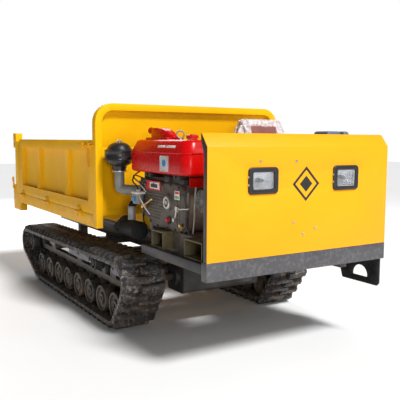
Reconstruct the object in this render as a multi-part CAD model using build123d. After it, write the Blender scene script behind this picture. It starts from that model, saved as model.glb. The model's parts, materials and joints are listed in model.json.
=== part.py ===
from build123d import *
import os
from math import atan2, cos, degrees, hypot, radians, sin

os.makedirs("parts", exist_ok=True)

# Ride-on tracked dumper ("power wheelbarrow"). Millimetres, +Z up.
# The machine drives towards -Y. It is laid out with y = 0 on the face of its
# front panel and z = 0 on the ground; write() then moves every piece so that
# the origin is the middle of the machine's footprint.

# ---- driving dimensions ------------------------------------------------------
PANEL_WIDTH = 1500       # front panel, and the chassis behind it
PANEL_FOOT = 715         # height of the panel's lower edge
PANEL_BEND = 1398        # height where the panel folds back
PANEL_TOP = 1479         # height of the fold's rear edge
PANEL_FOLD = 63          # how far the fold runs back
SHEET = 4                # general sheet thickness
EDGING_DEPTH = 36        # dark return flange behind the panel
BEZEL_PROUD = 12         # headlight bezels in front of the panel

BEAM = 60                # square section of the side and cross beams
BEAM_TOP = 700           # top of the chassis
SIDE_BEAM_LENGTH = 870
RAIL_HEIGHT = 140
RAIL_REAR = 3560

BOX_WIDTH = 1750         # load box outside
HEADBOARD_FRONT = 1400
HEADBOARD_THICK = 65
HEADBOARD_TOP = 1713
HEADBOARD_CORNER = 150
HEADBOARD_STRIP = 54     # width of its folded rim
HEADBOARD_SHEET = 45     # its sheet's face behind the rim's face
FLOOR_BOTTOM = 750
FLOOR_TOP = 848
BOX_REAR = 3900
POST_FRONT = 3600        # rear corner posts
GATE_TOP = 1431
GATE_THICK = 40
GATE_GAP = 4             # clearance round each gate
HINGE_PIN_R = 7
KNUCKLE_R = 12
PIVOT_CLEARANCE = 0.05   # radial clearance of every pin and shaft

TRACK_X = 695            # middle of each track
TRACK_WIDTH = 350
TRACK_GAP = 80           # between a track and the main rail beside it
BELT_THICK = 30
LUG_HEIGHT = 40
LUG_PITCH = 100
SPROCKET_R = 125         # inside radius of the belt round the sprocket
ROLLER_R = 105
CARRIER_R = 60
ROLLER_COUNT = 8
ROLLER_PITCH = 264
FIRST_ROLLER = 1215
SPROCKET_Y, SPROCKET_Z = 1090, 385
IDLER_Y, IDLER_Z = 3445, 350
CARRIER_Y = 1640
AXLE_R = 25
BELT_CLEARANCE = 1       # wheels stand this far off the belt

TIP_Y, TIP_Z = 3500, 660  # hinge that the load box tips about
TIP_PIN_R = 20
TIP_ANGLE = 50

# ---- worked-out places -------------------------------------------------------
HALF_PANEL = PANEL_WIDTH / 2
HALF_BOX = BOX_WIDTH / 2
RAIL_X = TRACK_X - TRACK_WIDTH / 2 - TRACK_GAP - BEAM / 2    # centre of each main rail
MIDDLE_Y = (BOX_REAR - BEZEL_PROUD) / 2
FLOOR_FRONT = HEADBOARD_FRONT + HEADBOARD_THICK
ROLLER_Z = BELT_THICK + LUG_HEIGHT + ROLLER_R
ROLLERS_Y = [FIRST_ROLLER + i * ROLLER_PITCH for i in range(ROLLER_COUNT)]
IDLER_R = ROLLER_R


def box(x, y, z):
    """A block from (low, high) pairs along each axis."""
    size = [high - low for low, high in (x, y, z)]
    centre = [(high + low) / 2 for low, high in (x, y, z)]
    return Pos(*centre) * Box(*size)


def rod_x(x, y, z, r):
    """A round bar along X between the two ends in x."""
    return Pos((x[0] + x[1]) / 2, y, z) * Rot(0, 90, 0) * Cylinder(r, x[1] - x[0])


def rod_y(x, y, z, r):
    return Pos(x, (y[0] + y[1]) / 2, z) * Rot(90, 0, 0) * Cylinder(r, y[1] - y[0])


def rod_z(x, y, z, r):
    return Pos(x, y, (z[0] + z[1]) / 2) * Cylinder(r, z[1] - z[0])


def bar(a, b, r):
    """A round bar from point a to point b."""
    a, b = Vector(*a), Vector(*b)
    return Solid.make_cylinder(r, (b - a).length, Plane(origin=a, z_dir=(b - a)))


def slab_x(points, x):
    """A flat outline of (y, z) points, given its thickness along X."""
    face = make_face(Polyline([(0, y, z) for y, z in points], close=True))
    return Pos(x[0], 0, 0) * extrude(face, amount=x[1] - x[0], dir=(1, 0, 0))


def slab_y(points, y):
    """A flat outline of (x, z) points, given its thickness along Y."""
    face = make_face(Polyline([(x, 0, z) for x, z in points], close=True))
    return Pos(0, y[0], 0) * extrude(face, amount=y[1] - y[0], dir=(0, 1, 0))


def fuse(*pieces):
    result = pieces[0]
    for piece in pieces[1:]:
        result = result + piece
    return result


def mirrored(piece):
    """The same piece on the other side of the machine."""
    return mirror(piece, about=Plane.YZ)


def pair(piece):
    """The piece and its copy on the other side, still two solids."""
    return Compound([*piece.solids(), *mirrored(piece).solids()])


def group(pieces):
    return Compound([s for piece in pieces for s in piece.solids()])


def write(name, piece):
    placed = Pos(0, -MIDDLE_Y, 0) * piece
    solids = placed.solids()
    shape = solids[0] if len(solids) == 1 else Compound(solids)
    shape.label = name
    export_step(shape, f"parts/{name}.step")
    print(f"{name}: {len(solids)} solids")


# ---- chassis -----------------------------------------------------------------
CROSS_Y = [1380, 2150, 2890]     # cross beams that carry the track frames
TRACK_BEAM_TOP = 340
LEG_TOP = BEAM_TOP - RAIL_HEIGHT
CROSS_HEIGHT = 70
BEARER_HEIGHT = 120
BEARERS_Y = [(100, 320), (600, 770)]
BEARER_END, BEARER_WALL = 720, 10
ENGINE_BASE = BEAM_TOP + BEARER_HEIGHT
ENGINE_INNER = 180
PLATFORM_X = (92, HALF_PANEL - 6)


def bearer(y):
    """A channel on its side across the chassis, open at the rear."""
    x = (-BEARER_END, -ENGINE_INNER)
    outer = box(x, y, (BEAM_TOP, ENGINE_BASE))
    inner = box((x[0] - 1, x[1] + 1), (y[0] + BEARER_WALL, y[1] - BEARER_WALL),
                (BEAM_TOP + BEARER_WALL, ENGINE_BASE - BEARER_WALL))
    return outer - inner


def chassis_frame():
    side = box((HALF_PANEL - BEAM, HALF_PANEL), (BEAM, SIDE_BEAM_LENGTH), (BEAM_TOP - BEAM, BEAM_TOP))
    rail = box((RAIL_X - BEAM / 2, RAIL_X + BEAM / 2), (BEAM, RAIL_REAR), (BEAM_TOP - RAIL_HEIGHT, BEAM_TOP))
    pieces = [side, mirrored(side), rail, mirrored(rail)]
    for y in (BEAM, SIDE_BEAM_LENGTH - BEAM):
        pieces.append(box((-HALF_PANEL, HALF_PANEL), (y, y + BEAM), (BEAM_TOP - BEAM, BEAM_TOP)))
    for y in CROSS_Y:
        low = TRACK_BEAM_TOP
        reach = TRACK_X + BEAM / 2
        pieces.append(box((-reach, reach), (y, y + 2 * BEAM), (low, low + CROSS_HEIGHT)))
        leg = box((RAIL_X - BEAM / 2, RAIL_X + BEAM / 2), (y, y + 2 * BEAM), (low + CROSS_HEIGHT, LEG_TOP))
        pieces += [leg, mirrored(leg)]
    for y in (960, 1240):
        pieces.append(box((-RAIL_X, RAIL_X), (y, y + BEAM), (LEG_TOP, LEG_TOP + BEAM)))
    pieces += [bearer(y) for y in BEARERS_Y]
    frame = fuse(*pieces)
    frame -= rod_x((-RAIL_X - BEAM, RAIL_X + BEAM), TIP_Y, TIP_Z, TIP_PIN_R + PIVOT_CLEARANCE)
    for x in (-LIFT_EAR, LIFT_EAR):
        frame += box((x - 8, x + 8), (LIFT_FOOT_Y - 38, LIFT_FOOT_Y + 38),
                     (TRACK_BEAM_TOP + CROSS_HEIGHT - 5, LIFT_FOOT_Z + 38))
    frame -= rod_x((-LIFT_EAR - 20, LIFT_EAR + 20), LIFT_FOOT_Y, LIFT_FOOT_Z, LIFT_PIN_R + PIVOT_CLEARANCE)
    return frame


# ---- lift cylinder: single stage between the chassis and the load box --------------
LIFT_FOOT_Y, LIFT_FOOT_Z = CROSS_Y[2] + BEAM, 450
LIFT_HEAD_Y, LIFT_HEAD_Z = 3300, 728     # where the rod pushes, box down
LIFT_EAR = 44
LIFT_PIN_R = 18
LIFT_BARREL_R, LIFT_ROD_R, LIFT_HEAD_R = 42, 26, 21


def lift_line(angle):
    """Length and slope of the cylinder when the box is tipped by angle degrees."""
    a = radians(angle)
    y, z = LIFT_HEAD_Y - TIP_Y, LIFT_HEAD_Z - TIP_Z
    head = (TIP_Y + y * cos(a) + z * sin(a), TIP_Z - y * sin(a) + z * cos(a))
    dy, dz = head[0] - LIFT_FOOT_Y, head[1] - LIFT_FOOT_Z
    return hypot(dy, dz), degrees(atan2(dz, dy))


def lift_point(distance, across=0):
    slope = radians(lift_line(0)[1])
    return (across, LIFT_FOOT_Y + distance * cos(slope), LIFT_FOOT_Z + distance * sin(slope))


def lift_barrel():
    length = lift_line(0)[0]
    barrel = bar(lift_point(70), lift_point(length - 90), LIFT_BARREL_R)
    barrel += bar(lift_point(0), lift_point(75), 30)
    bore = bar(lift_point(110), lift_point(length), LIFT_ROD_R + PIVOT_CLEARANCE)
    pin = rod_x((-LIFT_EAR - 8, LIFT_EAR + 8), LIFT_FOOT_Y, LIFT_FOOT_Z, LIFT_PIN_R)
    eye = rod_x((-LIFT_EAR + 10, LIFT_EAR - 10), LIFT_FOOT_Y, LIFT_FOOT_Z, 34)
    return barrel - bore + eye + pin


def lift_rod():
    length = lift_line(0)[0]
    shaft = bar(lift_point(115), lift_point(length - 10), LIFT_ROD_R)
    head = rod_x((-18, 18), LIFT_HEAD_Y, LIFT_HEAD_Z, LIFT_HEAD_R)
    return shaft + head


# ---- front panel, bumper, lights and step --------------------------------------
LAMP_X, LAMP_Z = 346, 1190
LAMP_WIDTH, LAMP_HEIGHT = 230, 165
LENS_WIDTH, LENS_HEIGHT = 172, 118
BOLTS = [(-368, 1310), (-84, 1306), (-97, 918), (-16, 837), (86, 868)]


def rounded_plate(x, z, width, height, corner, y):
    plate = box((x - width / 2, x + width / 2), y, (z - height / 2, z + height / 2))
    return fillet(plate.edges().filter_by(Axis.Y), corner)


def front_panel():
    profile = [(0, PANEL_FOOT), (0, PANEL_BEND), (PANEL_FOLD, PANEL_TOP),
               (PANEL_FOLD + SHEET, PANEL_TOP - SHEET), (SHEET, PANEL_BEND - 2), (SHEET, PANEL_FOOT)]
    panel = slab_x(profile, (-HALF_PANEL, HALF_PANEL))
    for x in (-LAMP_X, LAMP_X):
        panel -= rounded_plate(x, LAMP_Z, LENS_WIDTH, LENS_HEIGHT, 16, (-1, SHEET + 1))
    return panel


def panel_edging():
    """Dark return flange down both sides and along the top of the panel."""
    deep = SHEET + EDGING_DEPTH
    side = [(SHEET, PANEL_FOOT), (SHEET, PANEL_BEND - 2), (PANEL_FOLD + SHEET, PANEL_TOP - SHEET),
            (PANEL_FOLD + SHEET, PANEL_TOP - 60), (deep, PANEL_BEND - 40), (deep, PANEL_FOOT)]
    flange = slab_x(side, (HALF_PANEL - SHEET, HALF_PANEL))
    top = box((-HALF_PANEL, HALF_PANEL), (PANEL_FOLD + SHEET, PANEL_FOLD + 2 * SHEET),
              (PANEL_TOP - 60, PANEL_TOP - SHEET))
    return fuse(flange, mirrored(flange), top)


def bumper_beam():
    beam = box((-HALF_PANEL - 2, HALF_PANEL + 2), (0, BEAM), (PANEL_FOOT - 116, PANEL_FOOT))
    return fillet(beam.edges().filter_by(Axis.Z), 5)


def headlight_bezel(x):
    outer = rounded_plate(x, LAMP_Z, LAMP_WIDTH, LAMP_HEIGHT, 26, (-BEZEL_PROUD, 0))
    outer = chamfer(outer.faces().sort_by(Axis.Y)[0].edges(), 6)
    return outer - rounded_plate(x, LAMP_Z, LENS_WIDTH - 8, LENS_HEIGHT - 8, 14, (-BEZEL_PROUD - 1, 1))


def headlight_lens(x):
    lens = rounded_plate(x, LAMP_Z, LENS_WIDTH - 8, LENS_HEIGHT - 8, 14, (-5, 0))
    lamp = rounded_plate(x, LAMP_Z, LENS_WIDTH - 16, LENS_HEIGHT - 16, 10, (0, 60))
    return lens + lamp


def panel_mark():
    """A plain open lozenge with a solid one inside."""
    def lozenge(reach, y):
        points = [(-reach, 1160), (0, 1160 + reach), (reach, 1160), (0, 1160 - reach)]
        return slab_y(points, y)
    ring = lozenge(112, (-1, 0)) - lozenge(90, (-2, 1))
    return group([ring, lozenge(52, (-1, 0))])


def panel_bolt(x, z):
    head = rod_y(x, (-5, 0), z, 9)
    return chamfer(head.faces().sort_by(Axis.Y)[0].edges(), 1.5)


STEP_X = (HALF_PANEL + 2, HALF_PANEL + 10)


def step_plate():
    outline = [(40, 598), (437, 598), (437, 481), (404, 384), (60, 384), (40, 404)]
    plate = slab_x(outline, STEP_X)
    hole = rod_x((STEP_X[0] - 1, STEP_X[1] + 1), 225, 440, 72)
    hole &= box((STEP_X[0] - 1, STEP_X[1] + 1), (100, 350), (430, 520))
    tread = box((HALF_PANEL - BEAM, STEP_X[1]), (100, 400), (598, 602))
    riser = box((HALF_PANEL, STEP_X[1]), (60, 437), (598, BEAM_TOP - 2))
    return fillet(plate.edges().filter_by(Axis.X), 12) - hole + tread + riser


# ---- operator's place ----------------------------------------------------------
PLATFORM_REAR = 1180
SEAT_X = (270, 670)
SEAT_Y = (690, 1090)
SEAT_Z = 1110
LEVER_PIVOT_Z = 762


def operator_platform():
    x, y = PLATFORM_X, (BEAM, PLATFORM_REAR)
    floor = box(x, y, (BEAM_TOP, BEAM_TOP + 6))
    lip = box((x[1] - 6, x[1]), (SIDE_BEAM_LENGTH, y[1]), (BEAM_TOP - 40, BEAM_TOP))
    seat_box = box((SEAT_X[0] + 20, SEAT_X[1] - 20), (SEAT_Y[0] + 40, SEAT_Y[1] - 20), (BEAM_TOP + 6, SEAT_Z))
    seat_box -= box((SEAT_X[0] + 26, SEAT_X[1] - 26), (SEAT_Y[0] + 46, SEAT_Y[1] - 26),
                    (BEAM_TOP, SEAT_Z - 6))
    back = box((SEAT_X[0] + 110, SEAT_X[1] - 110), (SEAT_Y[1] + 78, SEAT_Y[1] + 86), (BEAM_TOP + 6, 1520))
    brace = box((SEAT_X[0] + 110, SEAT_X[1] - 110), (SEAT_Y[1] - 20, SEAT_Y[1] + 78),
                (SEAT_Z - 60, SEAT_Z - 52))
    result = fuse(floor, lip, seat_box, back, brace)
    for lx, ly, half in LEVERS:
        for side in (-1, 1):
            inner = lx + side * (half + 1)
            outer = lx + side * (half + 9)
            result += box((min(inner, outer), max(inner, outer)), (ly - 18, ly + 18),
                          (BEAM_TOP + 6, LEVER_PIVOT_Z + 20))
        result -= rod_x((lx - half - 12, lx + half + 12), ly, LEVER_PIVOT_Z, 6 + PIVOT_CLEARANCE)
    return result


# lever foot: x, y and half the width of its boss
LEVERS = [(420, 330, 12), (520, 330, 12), (230, 470, 12), (150, 470, 12), (610, 200, 12)]


def hand_lever(index, top_y, top_z):
    """A rod with a round knob on a pivot boss just above the floor."""
    x, y, half = LEVERS[index]
    boss = rod_x((x - half, x + half), y, LEVER_PIVOT_Z, 17)
    pin = rod_x((x - half - 9, x + half + 9), y, LEVER_PIVOT_Z, 6)
    stem = bar((x, y, LEVER_PIVOT_Z), (x, top_y, top_z), 8)
    knob = Pos(x, top_y, top_z) * Sphere(22)
    return fuse(boss, pin, stem, knob)


def foot_pedal():
    x, y, half = LEVERS[4]
    boss = rod_x((x - half, x + half), y, LEVER_PIVOT_Z, 14)
    pin = rod_x((x - half - 9, x + half + 9), y, LEVER_PIVOT_Z, 6)
    arm = bar((x, y, LEVER_PIVOT_Z), (x, y - 30, LEVER_PIVOT_Z + 80), 8)
    pad = Pos(x, y - 34, LEVER_PIVOT_Z + 90) * Rot(-60, 0, 0) * Box(70, 90, 10)
    return fuse(boss, pin, arm, pad)


def control_console():
    """Instrument box on a stalk behind the panel."""
    head = box((300, 510), (130, 290), (1380, 1500))
    head = fillet(head.edges().filter_by(Axis.X), 24)
    stalk = box((350, 460), (180, 250), (BEAM_TOP + 6, 1380))
    return head + stalk


def seat_cushion():
    cushion = box(SEAT_X, SEAT_Y, (SEAT_Z, SEAT_Z + 100))
    return fillet(cushion.edges(), 34)


def seat_back():
    back = box((SEAT_X[0] + 5, SEAT_X[1] - 5), (SEAT_Y[1] - 20, SEAT_Y[1] + 76), (SEAT_Z + 110, 1600))
    return fillet(back.edges(), 36)


# ---- engine ----------------------------------------------------------------------
CRANK_Y, CRANK_Z = 640, 960
START_Y, START_Z = 624, 1014
ENGINE_OUT = -620
FLYWHEEL_R = 190
FLYWHEEL_X = (-166, -96)
PULLEY_X = (-94, -46)
DRIVE_PULLEY_R = 90
GEARBOX_PULLEY_R = 80
GEARBOX_IN_Y, GEARBOX_IN_Z = 1090, 716
PULLEY_GAP = 0.4
BELT_DEPTH = 10


def engine_crankcase():
    block = box((ENGINE_OUT, -ENGINE_INNER), (465, 900), (ENGINE_BASE, 1150))
    block = fillet(block.edges().filter_by(Axis.X), 30)
    barrel = box((-560, -240), (890, 1090), (880, 1130))
    sump = box((-640, -200), (330, 598), (BEAM_TOP, ENGINE_BASE))
    bearing = rod_x((-ENGINE_INNER, FLYWHEEL_X[0] - 4), CRANK_Y, CRANK_Z, 60)
    bore = rod_x((-300, FLYWHEEL_X[0]), CRANK_Y, CRANK_Z, 30 + PIVOT_CLEARANCE)
    return fuse(block, barrel, sump, bearing) - bore


def gear_case_cover():
    """Timing cover on the outer side, with the boss of the starting shaft."""
    outline = [(423, 1090), (475, 1136), (560, 1149), (973, 1138), (1024, 1090), (1024, 899),
               (911, 846), (864, 822), (520, 822), (423, 870)]
    cover = slab_x(outline, (ENGINE_OUT - 40, ENGINE_OUT))
    cover = chamfer(cover.faces().sort_by(Axis.X)[0].edges(), 10)
    boss = rod_x((ENGINE_OUT - 62, ENGINE_OUT - 30), START_Y, START_Z, 56)
    bore = rod_x((ENGINE_OUT - 63, ENGINE_OUT - 12), START_Y, START_Z, 14 + PIVOT_CLEARANCE)
    return cover + boss - bore


def cylinder_head():
    head = box(HEAD_X, HEAD_Y, (860, 1140))
    rocker = box((HEAD_X[0] + 40, HEAD_X[1] - 80), (HEAD_Y[1], HEAD_Y[1] + 50), (900, 1110))
    rocker = fillet(rocker.edges().filter_by(Axis.X), 15)
    return head + rocker


def radiator():
    return box((-590, -220), (470, 880), (1150, 1205))


TANK_X, TANK_Y = (-700, -300), (340, 1190)
TANK_FOOT, TANK_SEAM, TANK_TOP = 1205, 1350, 1436
TANK_CORNER = 80         # radius of its upright front corners
TANK_REAR_CORNER = 26
TANK_LEAN = 24           # degrees that the upper half leans in
CAP_X, CAP_Y = -470, 640


def tank_outline(width, length, proud=0):
    """Seen from above: wide corners at the front, tight ones at the rear."""
    plan = Rectangle(width + 2 * proud, length + 2 * proud)
    corners = plan.vertices().sort_by(Axis.Y)
    plan = fillet(corners[:2], TANK_CORNER + proud)
    return fillet(plan.vertices().sort_by(Axis.Y)[-2:], TANK_REAR_CORNER + proud)


def fuel_tank():
    """Upright lower half, a proud seam and an upper half that leans in."""
    length, width = TANK_Y[1] - TANK_Y[0], TANK_X[1] - TANK_X[0]
    middle = Pos(sum(TANK_X) / 2, sum(TANK_Y) / 2, 0)
    outline = tank_outline(width, length)
    lower = extrude(Pos(0, 0, TANK_FOOT) * outline, amount=TANK_SEAM - TANK_FOOT)
    lower = fillet(lower.faces().sort_by(Axis.Z)[0].edges(), TANK_REAR_CORNER - 4)
    upper = extrude(Pos(0, 0, TANK_SEAM) * outline, amount=TANK_TOP - TANK_SEAM, taper=TANK_LEAN)
    upper = fillet(upper.faces().sort_by(Axis.Z)[-1].edges(), 14)
    seam = extrude(Pos(0, 0, TANK_SEAM - 5) * tank_outline(width, length, 4), amount=10)
    neck = rod_z(CAP_X, CAP_Y, (TANK_TOP - 6, TANK_TOP + 8), 36)
    return middle * fuse(lower, upper, seam) + neck


def fuel_cap():
    cap = rod_z(CAP_X, CAP_Y, (TANK_TOP + 9, TANK_TOP + 38), 42)
    return chamfer(cap.faces().sort_by(Axis.Z)[-1].edges(), 5)


def flywheel():
    disc = rod_x(FLYWHEEL_X, CRANK_Y, CRANK_Z, FLYWHEEL_R)
    disc = chamfer(disc.edges(), 4)
    pulley = rod_x((FLYWHEEL_X[1], PULLEY_X[1]), CRANK_Y, CRANK_Z, DRIVE_PULLEY_R)
    shaft = rod_x((-290, FLYWHEEL_X[0] + 5), CRANK_Y, CRANK_Z, 30)
    return fuse(disc, pulley, shaft)


def start_shaft():
    shaft = rod_x((ENGINE_OUT - 66, ENGINE_OUT - 14), START_Y, START_Z, 14)
    return shaft - box((ENGINE_OUT - 70, ENGINE_OUT - 56), (START_Y - 3, START_Y + 3),
                       (START_Z - 20, START_Z + 20))


def gearbox_pulley():
    pulley = rod_x(PULLEY_X, GEARBOX_IN_Y, GEARBOX_IN_Z, GEARBOX_PULLEY_R)
    shaft = rod_x((PULLEY_X[1] - 5, 40), GEARBOX_IN_Y, GEARBOX_IN_Z, 20)
    return pulley + shaft


def loop_outline(circles):
    """The tight loop round circles in the YZ plane, as a face."""
    edges = []
    for y, z, r in circles:
        edges += (Pos(y, z) * Wire.make_circle(r)).edges()
    return make_face(make_hull(edges).edges())


def stand_up(face, x):
    """Turn a flat (y, z) face drawn on XY into a slab along X."""
    solid = extrude(face, amount=x[1] - x[0])
    return Plane(origin=(x[0], 0, 0), x_dir=(0, 1, 0), z_dir=(1, 0, 0)).location * solid


def drive_belts():
    def loop(extra):
        return loop_outline([(CRANK_Y, CRANK_Z, DRIVE_PULLEY_R + extra),
                             (GEARBOX_IN_Y, GEARBOX_IN_Z, GEARBOX_PULLEY_R + extra)])
    ring = loop(PULLEY_GAP + BELT_DEPTH) - loop(PULLEY_GAP)
    width = (PULLEY_X[1] - PULLEY_X[0] - 8) / 2
    return group([stand_up(ring, (x, x + width)) for x in (PULLEY_X[0] + 1, PULLEY_X[0] + 7 + width)])


def speed_lever():
    boss = rod_x((ENGINE_OUT - 58, ENGINE_OUT - 41), 500, 985, 16)
    arm = slab_x([(492, 985), (508, 985), (530, 905), (518, 900)], (ENGINE_OUT - 54, ENGINE_OUT - 46))
    knob = rod_x((ENGINE_OUT - 66, ENGINE_OUT - 54), 524, 908, 12)
    return fuse(boss, arm, knob)


AIR_X, AIR_Y = -718, 1312
AIR_R = 114
INTAKE_R = 40
INTAKE_Z = 1055          # height of the level run of the intake pipe
INTAKE_PORT_Y = 1150
HEAD_X = (-580, -220)
HEAD_Y = (1090, 1190)


def air_cleaner():
    """Oil bath cleaner: bowl, wide rim, domed lid and a wing stud."""
    bowl = rod_z(AIR_X, AIR_Y, (1235, 1282), AIR_R - 14)
    bowl = chamfer(bowl.faces().sort_by(Axis.Z)[0].edges(), 24)
    rim = rod_z(AIR_X, AIR_Y, (1278, 1355), AIR_R)
    lid = rod_z(AIR_X, AIR_Y, (1355, 1418), AIR_R - 24)
    lid = fillet(lid.faces().sort_by(Axis.Z)[-1].edges(), 50)
    neck = rod_z(AIR_X, AIR_Y, (1192, 1240), INTAKE_R + 12)
    stud = rod_z(AIR_X, AIR_Y, (1410, 1437), 6)
    return fuse(bowl, rim, lid, neck, stud)


def intake_elbow():
    riser = rod_z(AIR_X, AIR_Y, (INTAKE_Z, 1192), INTAKE_R)
    bend = Pos(AIR_X, AIR_Y, INTAKE_Z) * Sphere(INTAKE_R)
    port = (HEAD_X[0], INTAKE_PORT_Y, INTAKE_Z)
    run_r = INTAKE_R - 5
    run = bar((AIR_X, AIR_Y, INTAKE_Z), (port[0] - run_r, port[1] + 18, INTAKE_Z), run_r)
    flange = box((port[0] - 40, port[0]), (port[1] - 46, port[1] + 36), (INTAKE_Z - 45, INTAKE_Z + 45))
    return fuse(riser, bend, run, flange)


MUFFLER_X, MUFFLER_Z, MUFFLER_R = -690, 772, 68
EXHAUST_Y = 1150


def muffler():
    """Can beside the head, the sleeve from the port and the outlet bend."""
    can = rod_y(MUFFLER_X, (1000, 1270), MUFFLER_Z, MUFFLER_R)
    can = fillet(can.edges(), 14)
    sleeve = rod_z(MUFFLER_X, EXHAUST_Y, (MUFFLER_Z, 940), 28)
    joint = Pos(MUFFLER_X, EXHAUST_Y, 940) * Sphere(28)
    port = rod_x((MUFFLER_X, HEAD_X[0]), EXHAUST_Y, 940, 27)
    outlet = bar((MUFFLER_X - 10, 1238, 820), (MUFFLER_X - 30, 1350, 756), 34)
    return fuse(can, sleeve, joint, port, outlet)


# ---- gearbox and tracks -------------------------------------------------------------
GEARBOX_HALF = 350
SHAFT_R = 30
TEETH = 8
SPROCKET_TIP = SPROCKET_R - 6
WHEEL_X = [(TRACK_X - 120, TRACK_X - 40), (TRACK_X + 40, TRACK_X + 120)]   # the two discs of each wheel
HANGER_X = (TRACK_X - 27, TRACK_X + 27)


def gearbox_case():
    case = box((-GEARBOX_HALF, GEARBOX_HALF), (965, 1220), (260, LEG_TOP))
    case = fillet(case.edges().filter_by(Axis.X), 30)
    tower = box((-26, 60), (1045, 1140), (LEG_TOP - 10, 790))
    case += tower
    case -= rod_x((-30, 46), GEARBOX_IN_Y, GEARBOX_IN_Z, 20 + PIVOT_CLEARANCE)
    for side in (-1, 1):
        flange = rod_x(sorted((side * GEARBOX_HALF, side * (GEARBOX_HALF + 30))), SPROCKET_Y, SPROCKET_Z, 70)
        case += flange
        case -= rod_x(sorted((side * 200, side * (GEARBOX_HALF + 31))), SPROCKET_Y, SPROCKET_Z,
                      SHAFT_R + PIVOT_CLEARANCE)
    return case


def sprocket():
    shaft = rod_x((210, HANGER_X[0]), SPROCKET_Y, SPROCKET_Z, SHAFT_R)
    hub = rod_x((HANGER_X[0] - 60, HANGER_X[1] + 20), SPROCKET_Y, SPROCKET_Z, 58)
    disc = rod_x(HANGER_X, SPROCKET_Y, SPROCKET_Z, SPROCKET_TIP - 26)
    result = fuse(shaft, hub, disc)
    half_root, half_tip = 24, 12
    for i in range(TEETH):
        tooth = slab_x([(-half_root, 80), (half_root, 80), (half_tip, SPROCKET_TIP),
                        (-half_tip, SPROCKET_TIP)], HANGER_X)
        result += Pos(0, SPROCKET_Y, SPROCKET_Z) * Rot(360 * i / TEETH, 0, 0) * tooth
    return result


def track_wheel(y, z, r):
    """Two rubbing discs on one hub that turns in the middle hanger."""
    shaft = rod_x((WHEEL_X[0][0] + 5, WHEEL_X[1][1] - 5), y, z, AXLE_R)
    result = shaft
    for x in WHEEL_X:
        disc = rod_x(x, y, z, r - BELT_CLEARANCE)
        result += chamfer(disc.edges(), 5)
    outer = WHEEL_X[1][1]
    result -= rod_x((outer - 16, outer + 1), y, z, r * 0.62)
    result += rod_x((outer - 16, outer + 8), y, z, r * 0.34)
    return result


def track_frame():
    """Beam over the rollers, with a hanger and a bore for each axle."""
    beam = box(HANGER_X, (1214, 3322), (290, TRACK_BEAM_TOP))
    for y in ROLLERS_Y:
        beam += slab_x([(y - 34, 292), (y - 34, ROLLER_Z - 20), (y - 20, ROLLER_Z - 36),
                        (y + 20, ROLLER_Z - 36), (y + 34, ROLLER_Z - 20), (y + 34, 292)], HANGER_X)
    beam += box(HANGER_X, (3300, IDLER_Y + 40), (IDLER_Z - 42, IDLER_Z + 42))
    beam += box(HANGER_X, (CARRIER_Y - 32, CARRIER_Y + 32), (TRACK_BEAM_TOP - 5, CARRIER_Z + 34))
    for y, z in [(y, ROLLER_Z) for y in ROLLERS_Y] + [(IDLER_Y, IDLER_Z), (CARRIER_Y, CARRIER_Z)]:
        beam -= rod_x((HANGER_X[0] - 1, HANGER_X[1] + 1), y, z, AXLE_R + PIVOT_CLEARANCE)
    return beam


def upper_run(y):
    """Height of the belt's inside over y, between the sprocket and the idler."""
    rise = (IDLER_Z + IDLER_R) - (SPROCKET_Z + SPROCKET_R)
    return SPROCKET_Z + SPROCKET_R + rise * (y - SPROCKET_Y) / (IDLER_Y - SPROCKET_Y)


CARRIER_Z = upper_run(CARRIER_Y) - CARRIER_R - 1


def track_belt():
    """Endless rubber belt round the wheels, with cross lugs on the outside."""
    def loop(extra):
        return loop_outline([(SPROCKET_Y, SPROCKET_Z, SPROCKET_R + extra),
                             (IDLER_Y, IDLER_Z, IDLER_R + extra),
                             (ROLLERS_Y[0], ROLLER_Z, ROLLER_R + extra),
                             (ROLLERS_Y[-1], ROLLER_Z, ROLLER_R + extra)])
    outside = loop(BELT_THICK)
    wire = outside.faces()[0].outer_wire()
    count = round(wire.length / LUG_PITCH)
    profile = outside - loop(0)
    for i in range(count):
        point, along = wire @ ((i + 0.5) / count), wire % ((i + 0.5) / count)
        lug = Rectangle(46, 2 * LUG_HEIGHT)
        profile += Plane(origin=point, x_dir=along, z_dir=(0, 0, 1)).location * lug
    profile -= loop(0)
    half = TRACK_WIDTH / 2
    return stand_up(profile, (TRACK_X - half, TRACK_X + half))


# ---- load box ----------------------------------------------------------------------
GATE_Y = (FLOOR_FRONT + GATE_GAP, POST_FRONT - GATE_GAP)
GATE_FOOT = FLOOR_TOP + GATE_GAP
GATE_OUT = HALF_BOX - 2
GATE_RAIL = 86
GATE_SILL = 98
GATE_STILE = 110
RIBS_Y = [2060, 2900]
RIB_WIDTH = 100
HINGES_Y = [1780, 2640, 3478]
HINGE_X, HINGE_Z = GATE_OUT + KNUCKLE_R + 2, GATE_FOOT - 6
KNUCKLE_LENGTH = 40
TAIL_PIVOT_Y, TAIL_PIVOT_Z = 3800, 1385
TAIL_HALF = HALF_BOX - 75
FLOOR_SHEET = 6
LIP_PROUD, LIP_HEIGHT = 6, 50        # folded lip along the foot of the headboard's sheet
SEAM_Z = 1380                        # joint between the two sheets of the headboard


def headboard_outline(inset=0, foot=FLOOR_BOTTOM):
    half, top, r = HALF_BOX - inset, HEADBOARD_TOP - inset, HEADBOARD_CORNER - inset
    plate = box((-half, half), (0, 1), (foot, top))
    corners = plate.edges().filter_by(Axis.Y).sort_by(Axis.Z)[-2:]
    return fillet(corners, r).faces().sort_by(Axis.Y)[0]


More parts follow.
